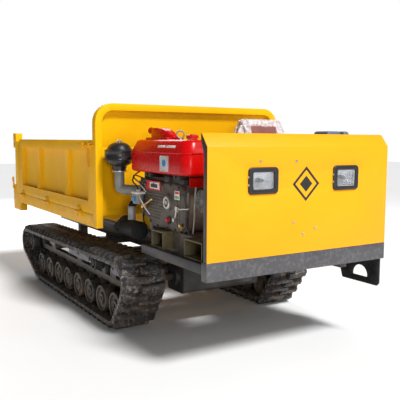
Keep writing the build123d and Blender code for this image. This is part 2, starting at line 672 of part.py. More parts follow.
def headboard():
    """A folded rim with the sheet set back in it, open below the load floor."""
    front, sheet = HEADBOARD_FRONT, HEADBOARD_FRONT + HEADBOARD_SHEET
    inner, foot = HALF_BOX - HEADBOARD_STRIP, FLOOR_TOP - FLOOR_SHEET
    opening = Pos(0, front - 1, 0) * headboard_outline(HEADBOARD_STRIP, FLOOR_BOTTOM - 1)
    board = extrude(Pos(0, front, 0) * headboard_outline(), amount=HEADBOARD_THICK, dir=(0, 1, 0))
    board -= extrude(opening, amount=HEADBOARD_THICK + 2, dir=(0, 1, 0))
    board += extrude(Pos(0, sheet, 0) * headboard_outline(HEADBOARD_STRIP, foot), amount=SHEET, dir=(0, 1, 0))
    board += box((-inner, inner), (sheet - LIP_PROUD, sheet), (foot, foot + LIP_HEIGHT))
    board -= box((-inner, inner), (sheet - 1, sheet + 2), (SEAM_Z - 3, SEAM_Z + 3))
    return board


def dump_body():
    """Load floor, skirts, runners, headboard, rear posts and the hinge ears."""
    half = HALF_BOX - 4
    under = FLOOR_TOP - FLOOR_SHEET
    inner = HALF_BOX - HEADBOARD_STRIP
    floor = box((-half, half), (FLOOR_FRONT, BOX_REAR), (under, FLOOR_TOP))
    floor += box((-inner, inner), (HEADBOARD_FRONT + HEADBOARD_SHEET, FLOOR_FRONT), (under, FLOOR_TOP))
    pieces = [headboard(), floor]
    skirt = box((half - 6, half), (FLOOR_FRONT, POST_FRONT), (FLOOR_BOTTOM, under))
    runner = box((RAIL_X - BEAM / 2, RAIL_X + BEAM / 2), (FLOOR_FRONT, TIP_Y - 100), (BEAM_TOP + 1, under))
    ear = box((RAIL_X + BEAM / 2 + 3, RAIL_X + BEAM / 2 + 21), (TIP_Y - 45, TIP_Y + 45), (TIP_Z - 40, under))
    ear -= rod_x((RAIL_X, RAIL_X + 2 * BEAM), TIP_Y, TIP_Z, TIP_PIN_R)
    post = box((half - 70, half), (POST_FRONT, BOX_REAR - 120), (FLOOR_BOTTOM - 88, 1410))
    post += box((half - 70, half), (BOX_REAR - 120, BOX_REAR - 20), (FLOOR_BOTTOM - 88, 930))
    post += box((half - 70, half), (TAIL_PIVOT_Y - 60, TAIL_PIVOT_Y + 50), (TAIL_PIVOT_Z - 45, 1495))
    post -= rod_x((half - 100, half + 10), TAIL_PIVOT_Y, TAIL_PIVOT_Z, 14)
    post -= rod_x((half - 100, half + 10), HOOK_Y, HOOK_Z, 9 + PIVOT_CLEARANCE)
    for piece in (skirt, runner, ear, post):
        pieces += [piece, mirrored(piece)]
    for y in (1700, 2200, 2760, 3300):
        pieces.append(box((-half + 6, half - 6), (y, y + 60), (FLOOR_BOTTOM + 30, under)))
    body = fuse(*pieces)
    for side in (-1, 1):
        for y in HINGES_Y:
            for offset in (-1, 1):
                low = y + offset * (KNUCKLE_LENGTH + 1) - KNUCKLE_LENGTH / 2
                knuckle = rod_y(side * HINGE_X, (low, low + KNUCKLE_LENGTH), HINGE_Z, KNUCKLE_R)
                leaf = box(sorted((side * half, side * HINGE_X)), (low, low + KNUCKLE_LENGTH),
                           (HINGE_Z - 40, HINGE_Z - 4))
                body += knuckle + leaf
            body -= rod_y(side * HINGE_X, (y - 70, y + 70), HINGE_Z, HINGE_PIN_R)
    cheek = LIFT_CHEEK
    for side in (-1, 1):
        x = sorted((side * cheek, side * (cheek + 10)))
        body += box(x, (LIFT_HEAD_Y - 70, LIFT_HEAD_Y + 90), (LIFT_HEAD_Z - 20, under))
    return body


LIFT_CHEEK = 34


def hinge_pins():
    """Pins of the side gates, of the tailgate and of the tipping hinge."""
    pins = []
    for y in HINGES_Y:
        pins.append(rod_y(HINGE_X, (y - 62, y + 62), HINGE_Z, HINGE_PIN_R))
    pins.append(rod_x((TAIL_HALF - 10, HALF_BOX - 2), TAIL_PIVOT_Y, TAIL_PIVOT_Z, 14))
    pins.append(rod_x((RAIL_X - BEAM / 2 - 10, RAIL_X + BEAM / 2 + 24), TIP_Y, TIP_Z, TIP_PIN_R))
    return pair(group(pins))


def side_gate():
    x = (GATE_OUT - GATE_THICK, GATE_OUT)
    gate = box(x, GATE_Y, (GATE_FOOT, GATE_TOP))
    window_y = (GATE_Y[0] + GATE_STILE, GATE_Y[1] - GATE_STILE)
    window_z = (GATE_FOOT + GATE_SILL, GATE_TOP - GATE_RAIL)
    gate -= box((x[0] + 6, x[1] + 1), window_y, window_z)
    for y in RIBS_Y:
        gate += box((x[0], x[1] - 8), (y, y + RIB_WIDTH), window_z)
    for y in HINGES_Y:
        length = (y - KNUCKLE_LENGTH / 2 + 0.5, y + KNUCKLE_LENGTH / 2 - 0.5)
        gate += rod_y(HINGE_X, length, HINGE_Z, KNUCKLE_R)
        gate += box((GATE_OUT - 1, HINGE_X), length, (HINGE_Z + 2, HINGE_Z + 46))
        gate -= rod_y(HINGE_X, (y - 70, y + 70), HINGE_Z, HINGE_PIN_R + PIVOT_CLEARANCE)
    bracket = box((GATE_OUT - 1, GATE_OUT + 20), (1505, 1535), (1370, 1410))
    bracket += box((GATE_OUT - 1, GATE_OUT + 20), (1640, 1670), (1370, 1410))
    gate += bracket
    gate -= rod_y(LATCH_X, (1440, 1700), LATCH_Z, 6 + PIVOT_CLEARANCE)
    return gate


LATCH_X, LATCH_Z = GATE_OUT + 9, 1390


def gate_latch():
    """Round bolt with a curved handle that hangs down its side."""
    bolt = rod_y(LATCH_X, (1440, 1686), LATCH_Z, 6)
    boss = rod_y(LATCH_X, (1540, 1560), LATCH_Z, 8)
    grip = bar((LATCH_X, 1550, LATCH_Z), (LATCH_X + 6, 1556, LATCH_Z - 80), 6)
    tail = bar((LATCH_X + 6, 1556, LATCH_Z - 80), (LATCH_X + 4, 1530, LATCH_Z - 172), 6)
    elbow = Pos(LATCH_X + 6, 1556, LATCH_Z - 80) * Sphere(6)
    return fuse(bolt, boss, grip, tail, elbow)


def tailgate():
    x = (-TAIL_HALF, TAIL_HALF)
    y = (TAIL_PIVOT_Y - 20, TAIL_PIVOT_Y + 20)
    gate = box(x, y, (GATE_FOOT + 10, TAIL_PIVOT_Z + 30))
    for low, high in ((-TAIL_HALF + 60, -TAIL_HALF / 3 - 30), (-TAIL_HALF / 3 + 30, TAIL_HALF / 3 - 30),
                      (TAIL_HALF / 3 + 30, TAIL_HALF - 60)):
        gate -= box((low, high), (y[0] + 6, y[1] + 1), (GATE_FOOT + 90, TAIL_PIVOT_Z - 60))
    for side in (-1, 1):
        gate -= rod_x(sorted((side * (TAIL_HALF - 12), side * (TAIL_HALF + 1))), TAIL_PIVOT_Y, TAIL_PIVOT_Z,
                      14 + PIVOT_CLEARANCE)
        gate += box(sorted((side * (TAIL_HALF - 60), side * TAIL_HALF)), (y[1] - 1, y[1] + 20), (960, 1000))
    return gate


HOOK_Y, HOOK_Z = 3850, 905


def tailgate_hook():
    """Hook outside the rear post that swings down off the tailgate's lug."""
    x = (HALF_BOX - 3, HALF_BOX + 9)
    pin = rod_x((x[0] - 40, x[1] + 4), HOOK_Y, HOOK_Z, 9)
    plate = slab_x([(HOOK_Y - 16, HOOK_Z - 20), (HOOK_Y + 16, HOOK_Z - 20), (HOOK_Y + 20, HOOK_Z + 70),
                    (HOOK_Y + 46, HOOK_Z + 84), (HOOK_Y + 46, HOOK_Z + 60), (HOOK_Y + 49, HOOK_Z + 60),
                    (HOOK_Y + 49, HOOK_Z + 104), (HOOK_Y, HOOK_Z + 112)], x)
    return pin + plate


PIECES = {
    "chassis_frame": chassis_frame, "bumper_beam": bumper_beam, "front_panel": front_panel,
    "panel_edging": panel_edging, "panel_mark": panel_mark, "step_plate": step_plate,
    "operator_platform": operator_platform, "control_console": control_console,
    "seat_cushion": seat_cushion, "seat_back": seat_back, "foot_pedal": foot_pedal,
    "engine_crankcase": engine_crankcase, "gear_case_cover": gear_case_cover,
    "cylinder_head": cylinder_head, "radiator": radiator, "fuel_tank": fuel_tank, "fuel_cap": fuel_cap,
    "flywheel": flywheel, "start_shaft": start_shaft, "gearbox_pulley": gearbox_pulley,
    "drive_belts": drive_belts, "speed_lever": speed_lever, "air_cleaner": air_cleaner,
    "intake_elbow": intake_elbow, "muffler": muffler, "gearbox_case": gearbox_case,
    "lift_barrel": lift_barrel, "lift_rod": lift_rod, "hinge_pins": hinge_pins, "tailgate": tailgate,
    "dump_body": dump_body,
}
for name, make in PIECES.items():
    write(name, make())

write("headlight_bezels", group([headlight_bezel(x) for x in (-LAMP_X, LAMP_X)]))
write("headlight_lenses", group([headlight_lens(x) for x in (-LAMP_X, LAMP_X)]))
write("panel_bolts", group([panel_bolt(x, z) for x, z in BOLTS]))
write("steering_lever_right", hand_lever(0, 300, 1350))
write("steering_lever_left", hand_lever(1, 300, 1350))
write("gear_lever", hand_lever(2, 500, 1180))
write("tip_lever", hand_lever(3, 500, 1150))

# +X is the operator's side: it is the machine's left, because it drives to -Y
for name, make in {"sprocket": sprocket, "track_frame": track_frame, "track_belt": track_belt,
                   "side_gate": side_gate, "gate_latch": gate_latch}.items():
    piece = make()
    write(f"{name}_left", piece)
    write(f"{name}_right", mirrored(piece))
idler = track_wheel(IDLER_Y, IDLER_Z, IDLER_R)
write("idler_left", idler)
write("idler_right", mirrored(idler))
write("carrier_rollers", pair(track_wheel(CARRIER_Y, CARRIER_Z, CARRIER_R)))
for number, y in enumerate(ROLLERS_Y, 1):
    write(f"bottom_rollers_{number}", pair(track_wheel(y, ROLLER_Z, ROLLER_R)))
write("tailgate_hooks", pair(tailgate_hook()))

for angle in range(0, TIP_ANGLE + 1, 10):
    length, slope = lift_line(angle)
    print(f"box at {angle} degrees: lift cylinder {length:.1f} mm long at {slope:.2f} degrees")
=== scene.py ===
# %% [markdown]
# A ride-on tracked dumper: two rubber tracks, a tipping load box, a one-cylinder
# diesel engine on its right and an operator's seat on its left, behind a wide
# front panel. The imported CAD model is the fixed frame. Everything made below is
# laid over it, in metres, and rides on one of its bodies.

# %% Load the frame
import bmesh
import bpy
import json
from math import atan2, cos, pi, radians, sin, tau
from mathutils import Matrix, Vector, noise


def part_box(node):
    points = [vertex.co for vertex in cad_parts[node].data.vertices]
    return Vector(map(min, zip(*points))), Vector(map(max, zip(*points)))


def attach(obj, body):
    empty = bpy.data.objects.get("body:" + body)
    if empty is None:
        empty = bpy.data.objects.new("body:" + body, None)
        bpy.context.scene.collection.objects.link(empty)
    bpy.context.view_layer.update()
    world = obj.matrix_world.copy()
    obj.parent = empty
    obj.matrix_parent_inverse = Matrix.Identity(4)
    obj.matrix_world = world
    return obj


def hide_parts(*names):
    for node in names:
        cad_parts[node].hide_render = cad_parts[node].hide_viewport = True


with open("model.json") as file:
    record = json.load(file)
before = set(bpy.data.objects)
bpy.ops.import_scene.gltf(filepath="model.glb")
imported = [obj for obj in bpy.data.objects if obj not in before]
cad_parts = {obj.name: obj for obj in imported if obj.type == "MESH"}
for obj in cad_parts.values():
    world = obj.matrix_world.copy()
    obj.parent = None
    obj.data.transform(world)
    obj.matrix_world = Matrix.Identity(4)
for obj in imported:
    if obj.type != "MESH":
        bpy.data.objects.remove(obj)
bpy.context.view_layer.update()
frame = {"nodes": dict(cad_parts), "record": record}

nodes = frame["nodes"]
PANEL_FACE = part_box("front_panel")[0].y

# %% [markdown]
# The camera stands at the front right of the machine, a little above the bonnet
# line, and looks slightly down. Its height and turn decide how wide the panel
# looks beside the load box, so they come first.

# %% Camera
CAMERA_PLACE = Vector((-2.573, PANEL_FACE - 2.892, 1.438))
CAMERA_TURN, CAMERA_DIP, CAMERA_ROLL = radians(31.533), radians(5.794), radians(0.302)
bpy.ops.object.camera_add(location=CAMERA_PLACE)
camera = bpy.context.object
camera.data.sensor_width, camera.data.lens = 36, 53.55
turn = Matrix.Rotation(-CAMERA_TURN, 4, "Z") @ Matrix.Rotation(pi / 2 - CAMERA_DIP, 4, "X")
camera.rotation_euler = (turn @ Matrix.Rotation(CAMERA_ROLL, 4, "Z")).to_euler()
bpy.context.scene.camera = camera

# %% [markdown]
# A plain studio: a pale floor, a high sun ahead of the machine, which the
# panel and the headboard face, and weaker lamps that fill its shadows. The side
# gates fall into shade, as they do outdoors. The backdrop is the world, bright where it is seen and
# weak as a light, because a white room all round would wash the paint out. The
# plain sRGB view keeps the enamel as saturated as it is.

# %% Floor and light
bpy.context.scene.view_settings.view_transform = "Standard"
bpy.ops.mesh.primitive_plane_add(size=60, location=(0, 0, -0.001))
floor = bpy.context.object
floor.name = "floor"
bpy.ops.object.transform_apply()


def lamp(name, place, aim, size, power, colour=(1, 1, 1)):
    bpy.ops.object.light_add(type="AREA", location=place)
    light = bpy.context.object
    light.name = name
    light.data.size, light.data.energy, light.data.color = size, power, colour
    light.rotation_euler = (Vector(aim) - Vector(place)).to_track_quat("-Z", "Y").to_euler()


lamp("key", (2.6, -8.0, 4.4), (0.2, -1.2, 0.9), 3.0, 90)
bpy.ops.object.light_add(type="SUN", location=(1.0, -4.0, 5.4))
sun = bpy.context.object
sun.name = "sky"
sun.data.energy, sun.data.angle = 3.6, radians(14)
sun.rotation_euler = (-Vector(sun.location)).to_track_quat("-Z", "Y").to_euler()
lamp("engine_side", (-3.0, -8.5, 2.2), (-0.6, -1.2, 1.1), 1.3, 115)
lamp("rear", (2.5, 7.5, 4.0), (0, 1.0, 0.8), 4.0, 300)
world = bpy.data.worlds.new("studio")
bpy.context.scene.world = world
world.use_nodes = True
sky = world.node_tree
backdrop = sky.nodes["Background"]
backdrop.inputs["Strength"].default_value = 1.0
fill = sky.nodes.new("ShaderNodeBackground")
fill.inputs["Strength"].default_value = 0.10
seen = sky.nodes.new("ShaderNodeLightPath")
either = sky.nodes.new("ShaderNodeMixShader")
for node in (backdrop, fill):
    node.inputs["Color"].default_value = (1, 1, 1, 1)
sky.links.new(seen.outputs["Is Camera Ray"], either.inputs[0])
sky.links.new(fill.outputs[0], either.inputs[1])
sky.links.new(backdrop.outputs[0], either.inputs[2])
sky.links.new(either.outputs[0], sky.nodes["World Output"].inputs["Surface"])

# %% [markdown]
# Every finish is a Principled shader whose colour, roughness and bump come from
# procedural noise on Object coordinates, so that the pattern stays on the metal.
# One builder makes them all: a base colour that drifts to a second one, grime
# that gathers low down, and fine bump at the scale of the real surface.

# %% Finish builder


def link(tree, a, b):
    tree.links.new(a, b)


def noise_node(tree, coords, scale, detail=4, rough=0.55):
    node = tree.nodes.new("ShaderNodeTexNoise")
    node.inputs["Scale"].default_value = scale
    node.inputs["Detail"].default_value = detail
    node.inputs["Roughness"].default_value = rough
    link(tree, coords, node.inputs["Vector"])
    return node.outputs["Fac"]


def ramp(tree, fac, low, high, start=0.0, end=1.0):
    """Maps fac from low..high to start..end."""
    node = tree.nodes.new("ShaderNodeMapRange")
    node.inputs["From Min"].default_value, node.inputs["From Max"].default_value = low, high
    node.inputs["To Min"].default_value, node.inputs["To Max"].default_value = start, end
    link(tree, fac, node.inputs["Value"])
    return node.outputs["Result"]


def mixed(tree, fac, first, second):
    """Colour that goes from first to second; either is a colour or a socket."""
    node = tree.nodes.new("ShaderNodeMix")
    node.data_type = "RGBA"
    link(tree, fac, node.inputs[0])
    for socket, value in ((node.inputs[6], first), (node.inputs[7], second)):
        if isinstance(value, tuple):
            socket.default_value = (*value, 1)
        else:
            link(tree, value, socket)
    return node.outputs[2]


def maths(tree, operation, a, b):
    node = tree.nodes.new("ShaderNodeMath")
    node.operation = operation
    for socket, value in zip(node.inputs, (a, b)):
        if isinstance(value, (int, float)):
            socket.default_value = value
        else:
            link(tree, value, socket)
    return node.outputs[0]


def finish(name, colour, drift, drift_scale=3, rough=(0.3, 0.45), bump=0.15, grain=220,
           grime=None, grime_top=0.6, metallic=0.0, coat=0.0, specular=0.5, wear_and_highlight=None):
    """A painted, cast or moulded surface.

    grime is a colour that shows in patches below grime_top metres, and the edge colour
    one that shows on raised edges: worn paint, and on the wheels also a painted highlight on the rims."""
    made = bpy.data.materials.new(name)
    made.use_nodes = True
    tree = made.node_tree
    shader = tree.nodes["Principled BSDF"]
    coords = tree.nodes.new("ShaderNodeTexCoord").outputs["Object"]
    broad = noise_node(tree, coords, drift_scale)
    fine = noise_node(tree, coords, grain, 3)
    base = mixed(tree, ramp(tree, broad, 0.35, 0.68), colour, drift)
    roughness = ramp(tree, noise_node(tree, coords, drift_scale * 7), 0.3, 0.7, *rough)
    if grime:
        height = tree.nodes.new("ShaderNodeSeparateXYZ")
        link(tree, coords, height.inputs[0])
        low = ramp(tree, height.outputs["Z"], grime_top, 0.0, 0.0, 0.75)
        patches = ramp(tree, noise_node(tree, coords, 9, 6, 0.7), 0.42, 0.66)
        base = mixed(tree, maths(tree, "MULTIPLY", low, patches), base, grime)
    # Raised edges take the edge colour: worn paint, and on the wheels also a painted highlight along the
    # rims.
    if wear_and_highlight:
        geometry = tree.nodes.new("ShaderNodeNewGeometry")
        edge = ramp(tree, geometry.outputs["Pointiness"], 0.53, 0.62)
        broken = ramp(tree, noise_node(tree, coords, 40, 5, 0.7), 0.5, 0.62)
        base = mixed(tree, maths(tree, "MULTIPLY", edge, broken), base, wear_and_highlight)
    link(tree, base, shader.inputs["Base Color"])
    link(tree, roughness, shader.inputs["Roughness"])
    shader.inputs["Metallic"].default_value = metallic
    shader.inputs["Specular IOR Level"].default_value = specular
    shader.inputs["Coat Weight"].default_value = coat
    shader.inputs["Coat Roughness"].default_value = 0.12
    if bump:
        relief = tree.nodes.new("ShaderNodeBump")
        relief.inputs["Strength"].default_value = bump
        relief.inputs["Distance"].default_value = 0.0008
        link(tree, fine, relief.inputs["Height"])
        link(tree, relief.outputs["Normal"], shader.inputs["Normal"])
    return made


# %% [markdown]
# The machine's own finishes. Yellow enamel is sprayed thickly, so it has a soft
# coat over slight orange peel; castings are painted straight over sand texture;
# the track is dull rubber with dried earth on it.

# %% Finishes
DUST = (0.30, 0.20, 0.115)
yellow_enamel = finish("yellow_enamel", (0.93, 0.40, 0.008), (0.90, 0.38, 0.006), 2.2, (0.42, 0.52), 0.06,
                       160,
                       coat=0.0, specular=0.20)
box_enamel = finish("box_enamel", (0.96, 0.50, 0.002), (0.90, 0.45, 0.002), 2.6, (0.40, 0.55), 0.12, 140,
                    grime=DUST, grime_top=1.0, coat=0.0, specular=0.12)
dark_enamel = finish("dark_enamel", (0.020, 0.020, 0.022), (0.032, 0.032, 0.034), 4, (0.35, 0.5), 0.15,
                     grime=DUST, grime_top=0.7)
bumper_enamel = finish("bumper_enamel", (0.062, 0.061, 0.068), (0.080, 0.079, 0.086), 4, (0.34, 0.48), 0.12,
                       wear_and_highlight=(0.4, 0.36, 0.32))
black_enamel = finish("black_enamel", (0.010, 0.010, 0.011), (0.016, 0.016, 0.017), 5, (0.24, 0.38), 0.1,
                      coat=0.2)
red_enamel = finish("red_enamel", (0.66, 0.002, 0.003), (0.56, 0.001, 0.002), 5, (0.24, 0.32), 0.05, 90,
                    coat=0.10, specular=0.24)
cast_iron = finish("cast_iron", (0.090, 0.074, 0.060), (0.135, 0.108, 0.086), 14, (0.42, 0.62), 0.5, 300,
                   wear_and_highlight=(0.34, 0.28, 0.22))
dark_casting = finish("dark_casting", (0.026, 0.024, 0.022), (0.050, 0.044, 0.037), 12, (0.45, 0.65), 0.5,
                      280)
zinc = finish("zinc", (0.62, 0.60, 0.54), (0.48, 0.46, 0.40), 30, (0.25, 0.42), 0.2, 260, metallic=0.9)
chrome = finish("chrome", (0.8, 0.8, 0.8), (0.74, 0.74, 0.74), 20, (0.06, 0.12), 0.03, metallic=1.0)
# The pale edge colour on the wheels is a painted highlight along their rims as well as worn paint.
wheel_paint = finish("wheel_paint", (0.018, 0.018, 0.019), (0.035, 0.033, 0.030), 11, (0.4, 0.58), 0.3,
                     grime=DUST, grime_top=0.5, wear_and_highlight=(0.22, 0.20, 0.18))
track_rubber = finish("track_rubber", (0.016, 0.017, 0.020), (0.030, 0.029, 0.030), 8, (0.5, 0.72), 0.5,
                      150,
                      grime=(0.15, 0.095, 0.06), grime_top=0.75, wear_and_highlight=(0.30, 0.27, 0.24))
belt_rubber = finish("belt_rubber", (0.012, 0.012, 0.012), (0.02, 0.02, 0.02), 20, (0.5, 0.65), 0.3)
black_plastic = finish("black_plastic", (0.012, 0.012, 0.013), (0.02, 0.02, 0.021), 25, (0.38, 0.5), 0.25,
                       500)
console_plastic = finish("console_plastic", (0.10, 0.13, 0.19), (0.13, 0.16, 0.22), 8, (0.4, 0.52), 0.3,
                         420)
plate_metal = finish("plate_metal", (0.72, 0.70, 0.68), (0.55, 0.52, 0.50), 22, (0.22, 0.34), 0.1,
                     metallic=0.8)
grey_paint = finish("grey_paint", (0.20, 0.20, 0.19), (0.28, 0.27, 0.25), 10, (0.35, 0.5), 0.25,
                    wear_and_highlight=(0.4, 0.38, 0.34))
brass = finish("brass", (0.75, 0.50, 0.18), (0.6, 0.38, 0.13), 26, (0.25, 0.4), 0.15, metallic=1.0)
beam_paint = finish("beam_paint", (0.085, 0.074, 0.068), (0.060, 0.053, 0.050), 7, (0.4, 0.55), 0.2,
                    grime=(0.20, 0.15, 0.08), grime_top=0.6, wear_and_highlight=(0.34, 0.30, 0.24))
bracket_paint = finish("bracket_paint", (0.22, 0.22, 0.26), (0.16, 0.16, 0.19), 9, (0.35, 0.5), 0.2,
                       wear_and_highlight=(0.4, 0.4, 0.4))
soot_black = finish("soot_black", (0.010, 0.010, 0.011), (0.016, 0.016, 0.017), 12, (0.55, 0.7), 0.3,
                    specular=0.15)
sleeve_paint = finish("sleeve_paint", (0.34, 0.33, 0.33), (0.26, 0.25, 0.25), 24, (0.35, 0.5), 0.2, 200,
                      metallic=0.2)
white_paint = finish("white_paint", (0.80, 0.79, 0.76), (0.70, 0.68, 0.64), 30, (0.4, 0.5), 0.1, 300)
blue_plastic = finish("blue_plastic", (0.02, 0.20, 0.50), (0.03, 0.26, 0.56), 30, (0.4, 0.5), 0.1, 300)
green_paint = finish("green_paint", (0.18, 0.42, 0.02), (0.14, 0.36, 0.02), 30, (0.4, 0.5), 0.1, 300)
tag_red = finish("tag_red", (0.70, 0.02, 0.02), (0.60, 0.02, 0.02), 30, (0.4, 0.5), 0.1, 300)
floor_paint = finish("floor_paint", (0.90, 0.90, 0.90), (0.88, 0.88, 0.88), 0.4, (0.75, 0.85), 0.0)
floor.data.materials.append(floor_paint)
print("finishes", len(bpy.data.materials))

# %% [markdown]
# Modelling helpers. Each one starts from a primitive at its size and place, as
# one would by hand, and leaves the object's origin at the world origin with its
# place in the mesh. Places are given as (x, behind the panel, height) in metres.

# %% Helpers


def at(x, behind, z):
    """A place from the middle plane, the panel's face and the ground."""
    return Vector((x, PANEL_FACE + behind, z))


def rest():
    """Nothing selected, object mode."""
    if bpy.context.object and bpy.context.object.mode != "OBJECT":
        bpy.ops.object.mode_set(mode="OBJECT")
    bpy.ops.object.select_all(action="DESELECT")


def activate(piece):
    rest()
    piece.select_set(True)
    bpy.context.view_layer.objects.active = piece


def settle(piece, name):
    """Names a new primitive and puts its place into its mesh."""
    piece.name = piece.data.name = name
    activate(piece)
    bpy.ops.object.transform_apply(location=True, rotation=True, scale=True)
    return piece


def block(name, low, high):
    low, high = Vector(low), Vector(high)
    rest()
    bpy.ops.mesh.primitive_cube_add(size=1, location=(low + high) / 2)
    piece = bpy.context.object
    piece.scale = high - low
    return settle(piece, name)


def rod(name, start, end, radius, tip=None, sides=40):
    """A round bar, or a cone where tip is given."""
    start, end = Vector(start), Vector(end)
    rest()
    turned = (end - start).to_track_quat("Z", "Y").to_euler()
    bpy.ops.mesh.primitive_cone_add(vertices=sides, radius1=radius, radius2=radius if tip is None else tip,
                                    depth=(end - start).length, location=(start + end) / 2, rotation=turned)
    return settle(bpy.context.object, name)


def ring(name, centre, axis, radius, thickness, sides=48, around=12):
    rest()
    turned = Vector(axis).to_track_quat("Z", "Y").to_euler()
    bpy.ops.mesh.primitive_torus_add(major_radius=radius, minor_radius=thickness, major_segments=sides,
                                     minor_segments=around, location=centre, rotation=turned)
    return settle(bpy.context.object, name)


def ball(name, centre, radius, scale=(1, 1, 1)):
    rest()
    bpy.ops.mesh.primitive_uv_sphere_add(segments=32, ring_count=16, radius=radius, location=centre)
    bpy.context.object.scale = scale
    return settle(bpy.context.object, name)


def hexagon(name, start, end, radius):
    return rod(name, start, end, radius, sides=6)


def pick(piece, test):
    """Edit mode, with only the faces that pass the test selected."""
    activate(piece)
    bpy.ops.object.mode_set(mode="EDIT")
    bpy.ops.mesh.select_mode(type="FACE")
    bpy.ops.mesh.select_all(action="DESELECT")
    mesh = bmesh.from_edit_mesh(piece.data)
    for face in mesh.faces:
        face.select_set(bool(test(face)))
    bmesh.update_edit_mesh(piece.data)


def facing(axis, limit=0.95):
    axis = Vector(axis).normalized()
    return lambda face: face.normal.dot(axis) > limit


def step(piece, test, *moves):
    """Insets the chosen faces and pushes them along their normal, move by move."""
    pick(piece, test)
    for inset, push in moves:
        if inset:
            bpy.ops.mesh.inset(thickness=inset, depth=0)
        if push:
            bpy.ops.mesh.extrude_region_shrink_fatten(
                TRANSFORM_OT_shrink_fatten={"value": push})
    rest()
    return piece


def modify(piece, kind, **settings):
    activate(piece)
    modifier = piece.modifiers.new(kind.lower(), kind)
    for name, value in settings.items():
        setattr(modifier, name, value)
    bpy.ops.object.modifier_apply(modifier=modifier.name)
    return piece


def soften(piece, width=0.002, segments=2, angle=35):
    """Rounds the sharp edges, as every real edge is."""
    modify(piece, "BEVEL", width=width, segments=segments, limit_method="ANGLE", angle_limit=radians(angle),
           harden_normals=False)
    bpy.ops.object.shade_smooth_by_angle(angle=radians(40))
    return piece


def softened(pieces, width, segments=2):
    for piece in pieces:
        soften(piece, width, segments)


def smoothed(pieces):
    for piece in pieces:
        activate(piece)
        bpy.ops.object.shade_smooth_by_angle(angle=radians(40))


def joined(name, pieces):
    rest()
    for piece in pieces:
        piece.select_set(True)
    bpy.context.view_layer.objects.active = pieces[0]
    if len(pieces) > 1:
        bpy.ops.object.join()
    pieces[0].name = pieces[0].data.name = name
    return pieces[0]


def copied(piece, name, offset=(0, 0, 0), mirror_x=False):
    """A copy with its own mesh, moved, or mirrored to the other side."""
    rest()
    twin = piece.copy()
    twin.data = piece.data.copy()
    twin.name = twin.data.name = name
    bpy.context.collection.objects.link(twin)
    if mirror_x:
        twin.data.transform(Matrix.Diagonal((-1, 1, 1, 1)))
        twin.data.flip_normals()
    twin.data.transform(Matrix.Translation(offset))
    return twin


def fitted(piece, material, body, slot, *stands_for):
    """Gives a finished piece its material and its body, and hides the parts it stands for; slot is not
    used.
    """
    piece.data.materials.clear()
    piece.data.materials.append(material)
    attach(piece, body)
    if stands_for:
        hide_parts(*stands_for)
    return piece


# %% [markdown]
# The frame is sprayed dark, but the open channels that the engine stands on are
# still in their olive primer. They are part of the same weldment, so the finish
# itself tells them apart: above the frame's top face, on the engine's side.

# %% Frame finish
FRAME_TOP = 0.7005


def chassis_finish():
    made = finish("chassis_enamel", (0.022, 0.022, 0.024), (0.034, 0.034, 0.036), 4, (0.35, 0.5), 0.15,
                  grime=DUST, grime_top=0.75)
    tree = made.node_tree
    shader = tree.nodes["Principled BSDF"]
    dark = shader.inputs["Base Color"].links[0].from_socket
    coords = tree.nodes.new("ShaderNodeTexCoord").outputs["Object"]
    place = tree.nodes.new("ShaderNodeSeparateXYZ")
    link(tree, coords, place.inputs[0])
    above = maths(tree, "GREATER_THAN", place.outputs["Z"], FRAME_TOP)
    patches = ramp(tree, noise_node(tree, coords, 11, 6, 0.65), 0.38, 0.68)
    olive = mixed(tree, patches, (0.120, 0.092, 0.030), (0.055, 0.042, 0.018))
    rust = ramp(tree, noise_node(tree, coords, 26, 5, 0.7), 0.60, 0.72, 0.0, 0.8)
    olive = mixed(tree, rust, olive, (0.22, 0.085, 0.030))
    link(tree, mixed(tree, above, dark, olive), shader.inputs["Base Color"])
    return made


chassis_enamel = chassis_finish()

# %% [markdown]
# The CAD gives folded sheet and welded beams with knife edges. Real sheet metal
# is bent round a tool and real castings have radii, and the light on those small
# radii is what makes them read as metal. So most CAD pieces are copied, their
# loose triangles merged back into flat faces, and their edges rounded.

# %% Rounded copies of the CAD pieces
BODY_OF = {node: body for body, names in frame["record"]["behaviour"]["bodies"].items() for node in names}
SLOT_OF = {part["node"]: part["material_slot"] for part in frame["record"]["subparts"]}


def merged_copy(node, name):
    """The CAD piece's shape as a clean mesh of flat faces."""
    shape = bpy.data.objects.new(name, nodes[node].data.copy())
    bpy.context.collection.objects.link(shape)
    shape.data.name = name
    activate(shape)
    bpy.ops.object.mode_set(mode="EDIT")
    bpy.ops.mesh.select_all(action="SELECT")
    bpy.ops.mesh.remove_doubles(threshold=0.00002)
    bpy.ops.mesh.dissolve_limited(angle_limit=radians(0.6))
    rest()
    return shape


def rounded(node, material, width=0.003, segments=2, angle=35):
    shape = merged_copy(node, node + "_finished")
    soften(shape, width, segments, angle)
    return fitted(shape, material, BODY_OF[node], SLOT_OF[node], node)


ROUNDED = {
    "front_panel": (yellow_enamel, 0.002), "panel_edging": (dark_enamel, 0.001),
    "bumper_beam": (bumper_enamel, 0.004), "step_plate": (black_enamel, 0.0015),
    "headlight_bezels": (black_plastic, 0.002), "side_gate_left": (box_enamel, 0.003),
    "side_gate_right": (box_enamel, 0.003), "tailgate": (box_enamel, 0.003),
    "dump_body": (box_enamel, 0.003),
    "engine_crankcase": (cast_iron, 0.006),
    "cylinder_head": (dark_casting, 0.006), "radiator": (dark_casting, 0.004),
    "gearbox_case": (dark_casting, 0.004),
    "operator_platform": (dark_enamel, 0.0015),
    "track_frame_left": (beam_paint, 0.003), "track_frame_right": (beam_paint, 0.003),
    "gear_case_cover": (cast_iron, 0.006), "chassis_frame": (chassis_enamel, 0.003),
    "sprocket_left": (wheel_paint, 0.003), "sprocket_right": (wheel_paint, 0.003),
    "flywheel": (dark_casting, 0.003), "lift_barrel": (dark_enamel, 0.002),
}
for node, (material, width) in ROUNDED.items():
    piece = rounded(node, material, width)
    print(node, "faces", len(piece.data.polygons))

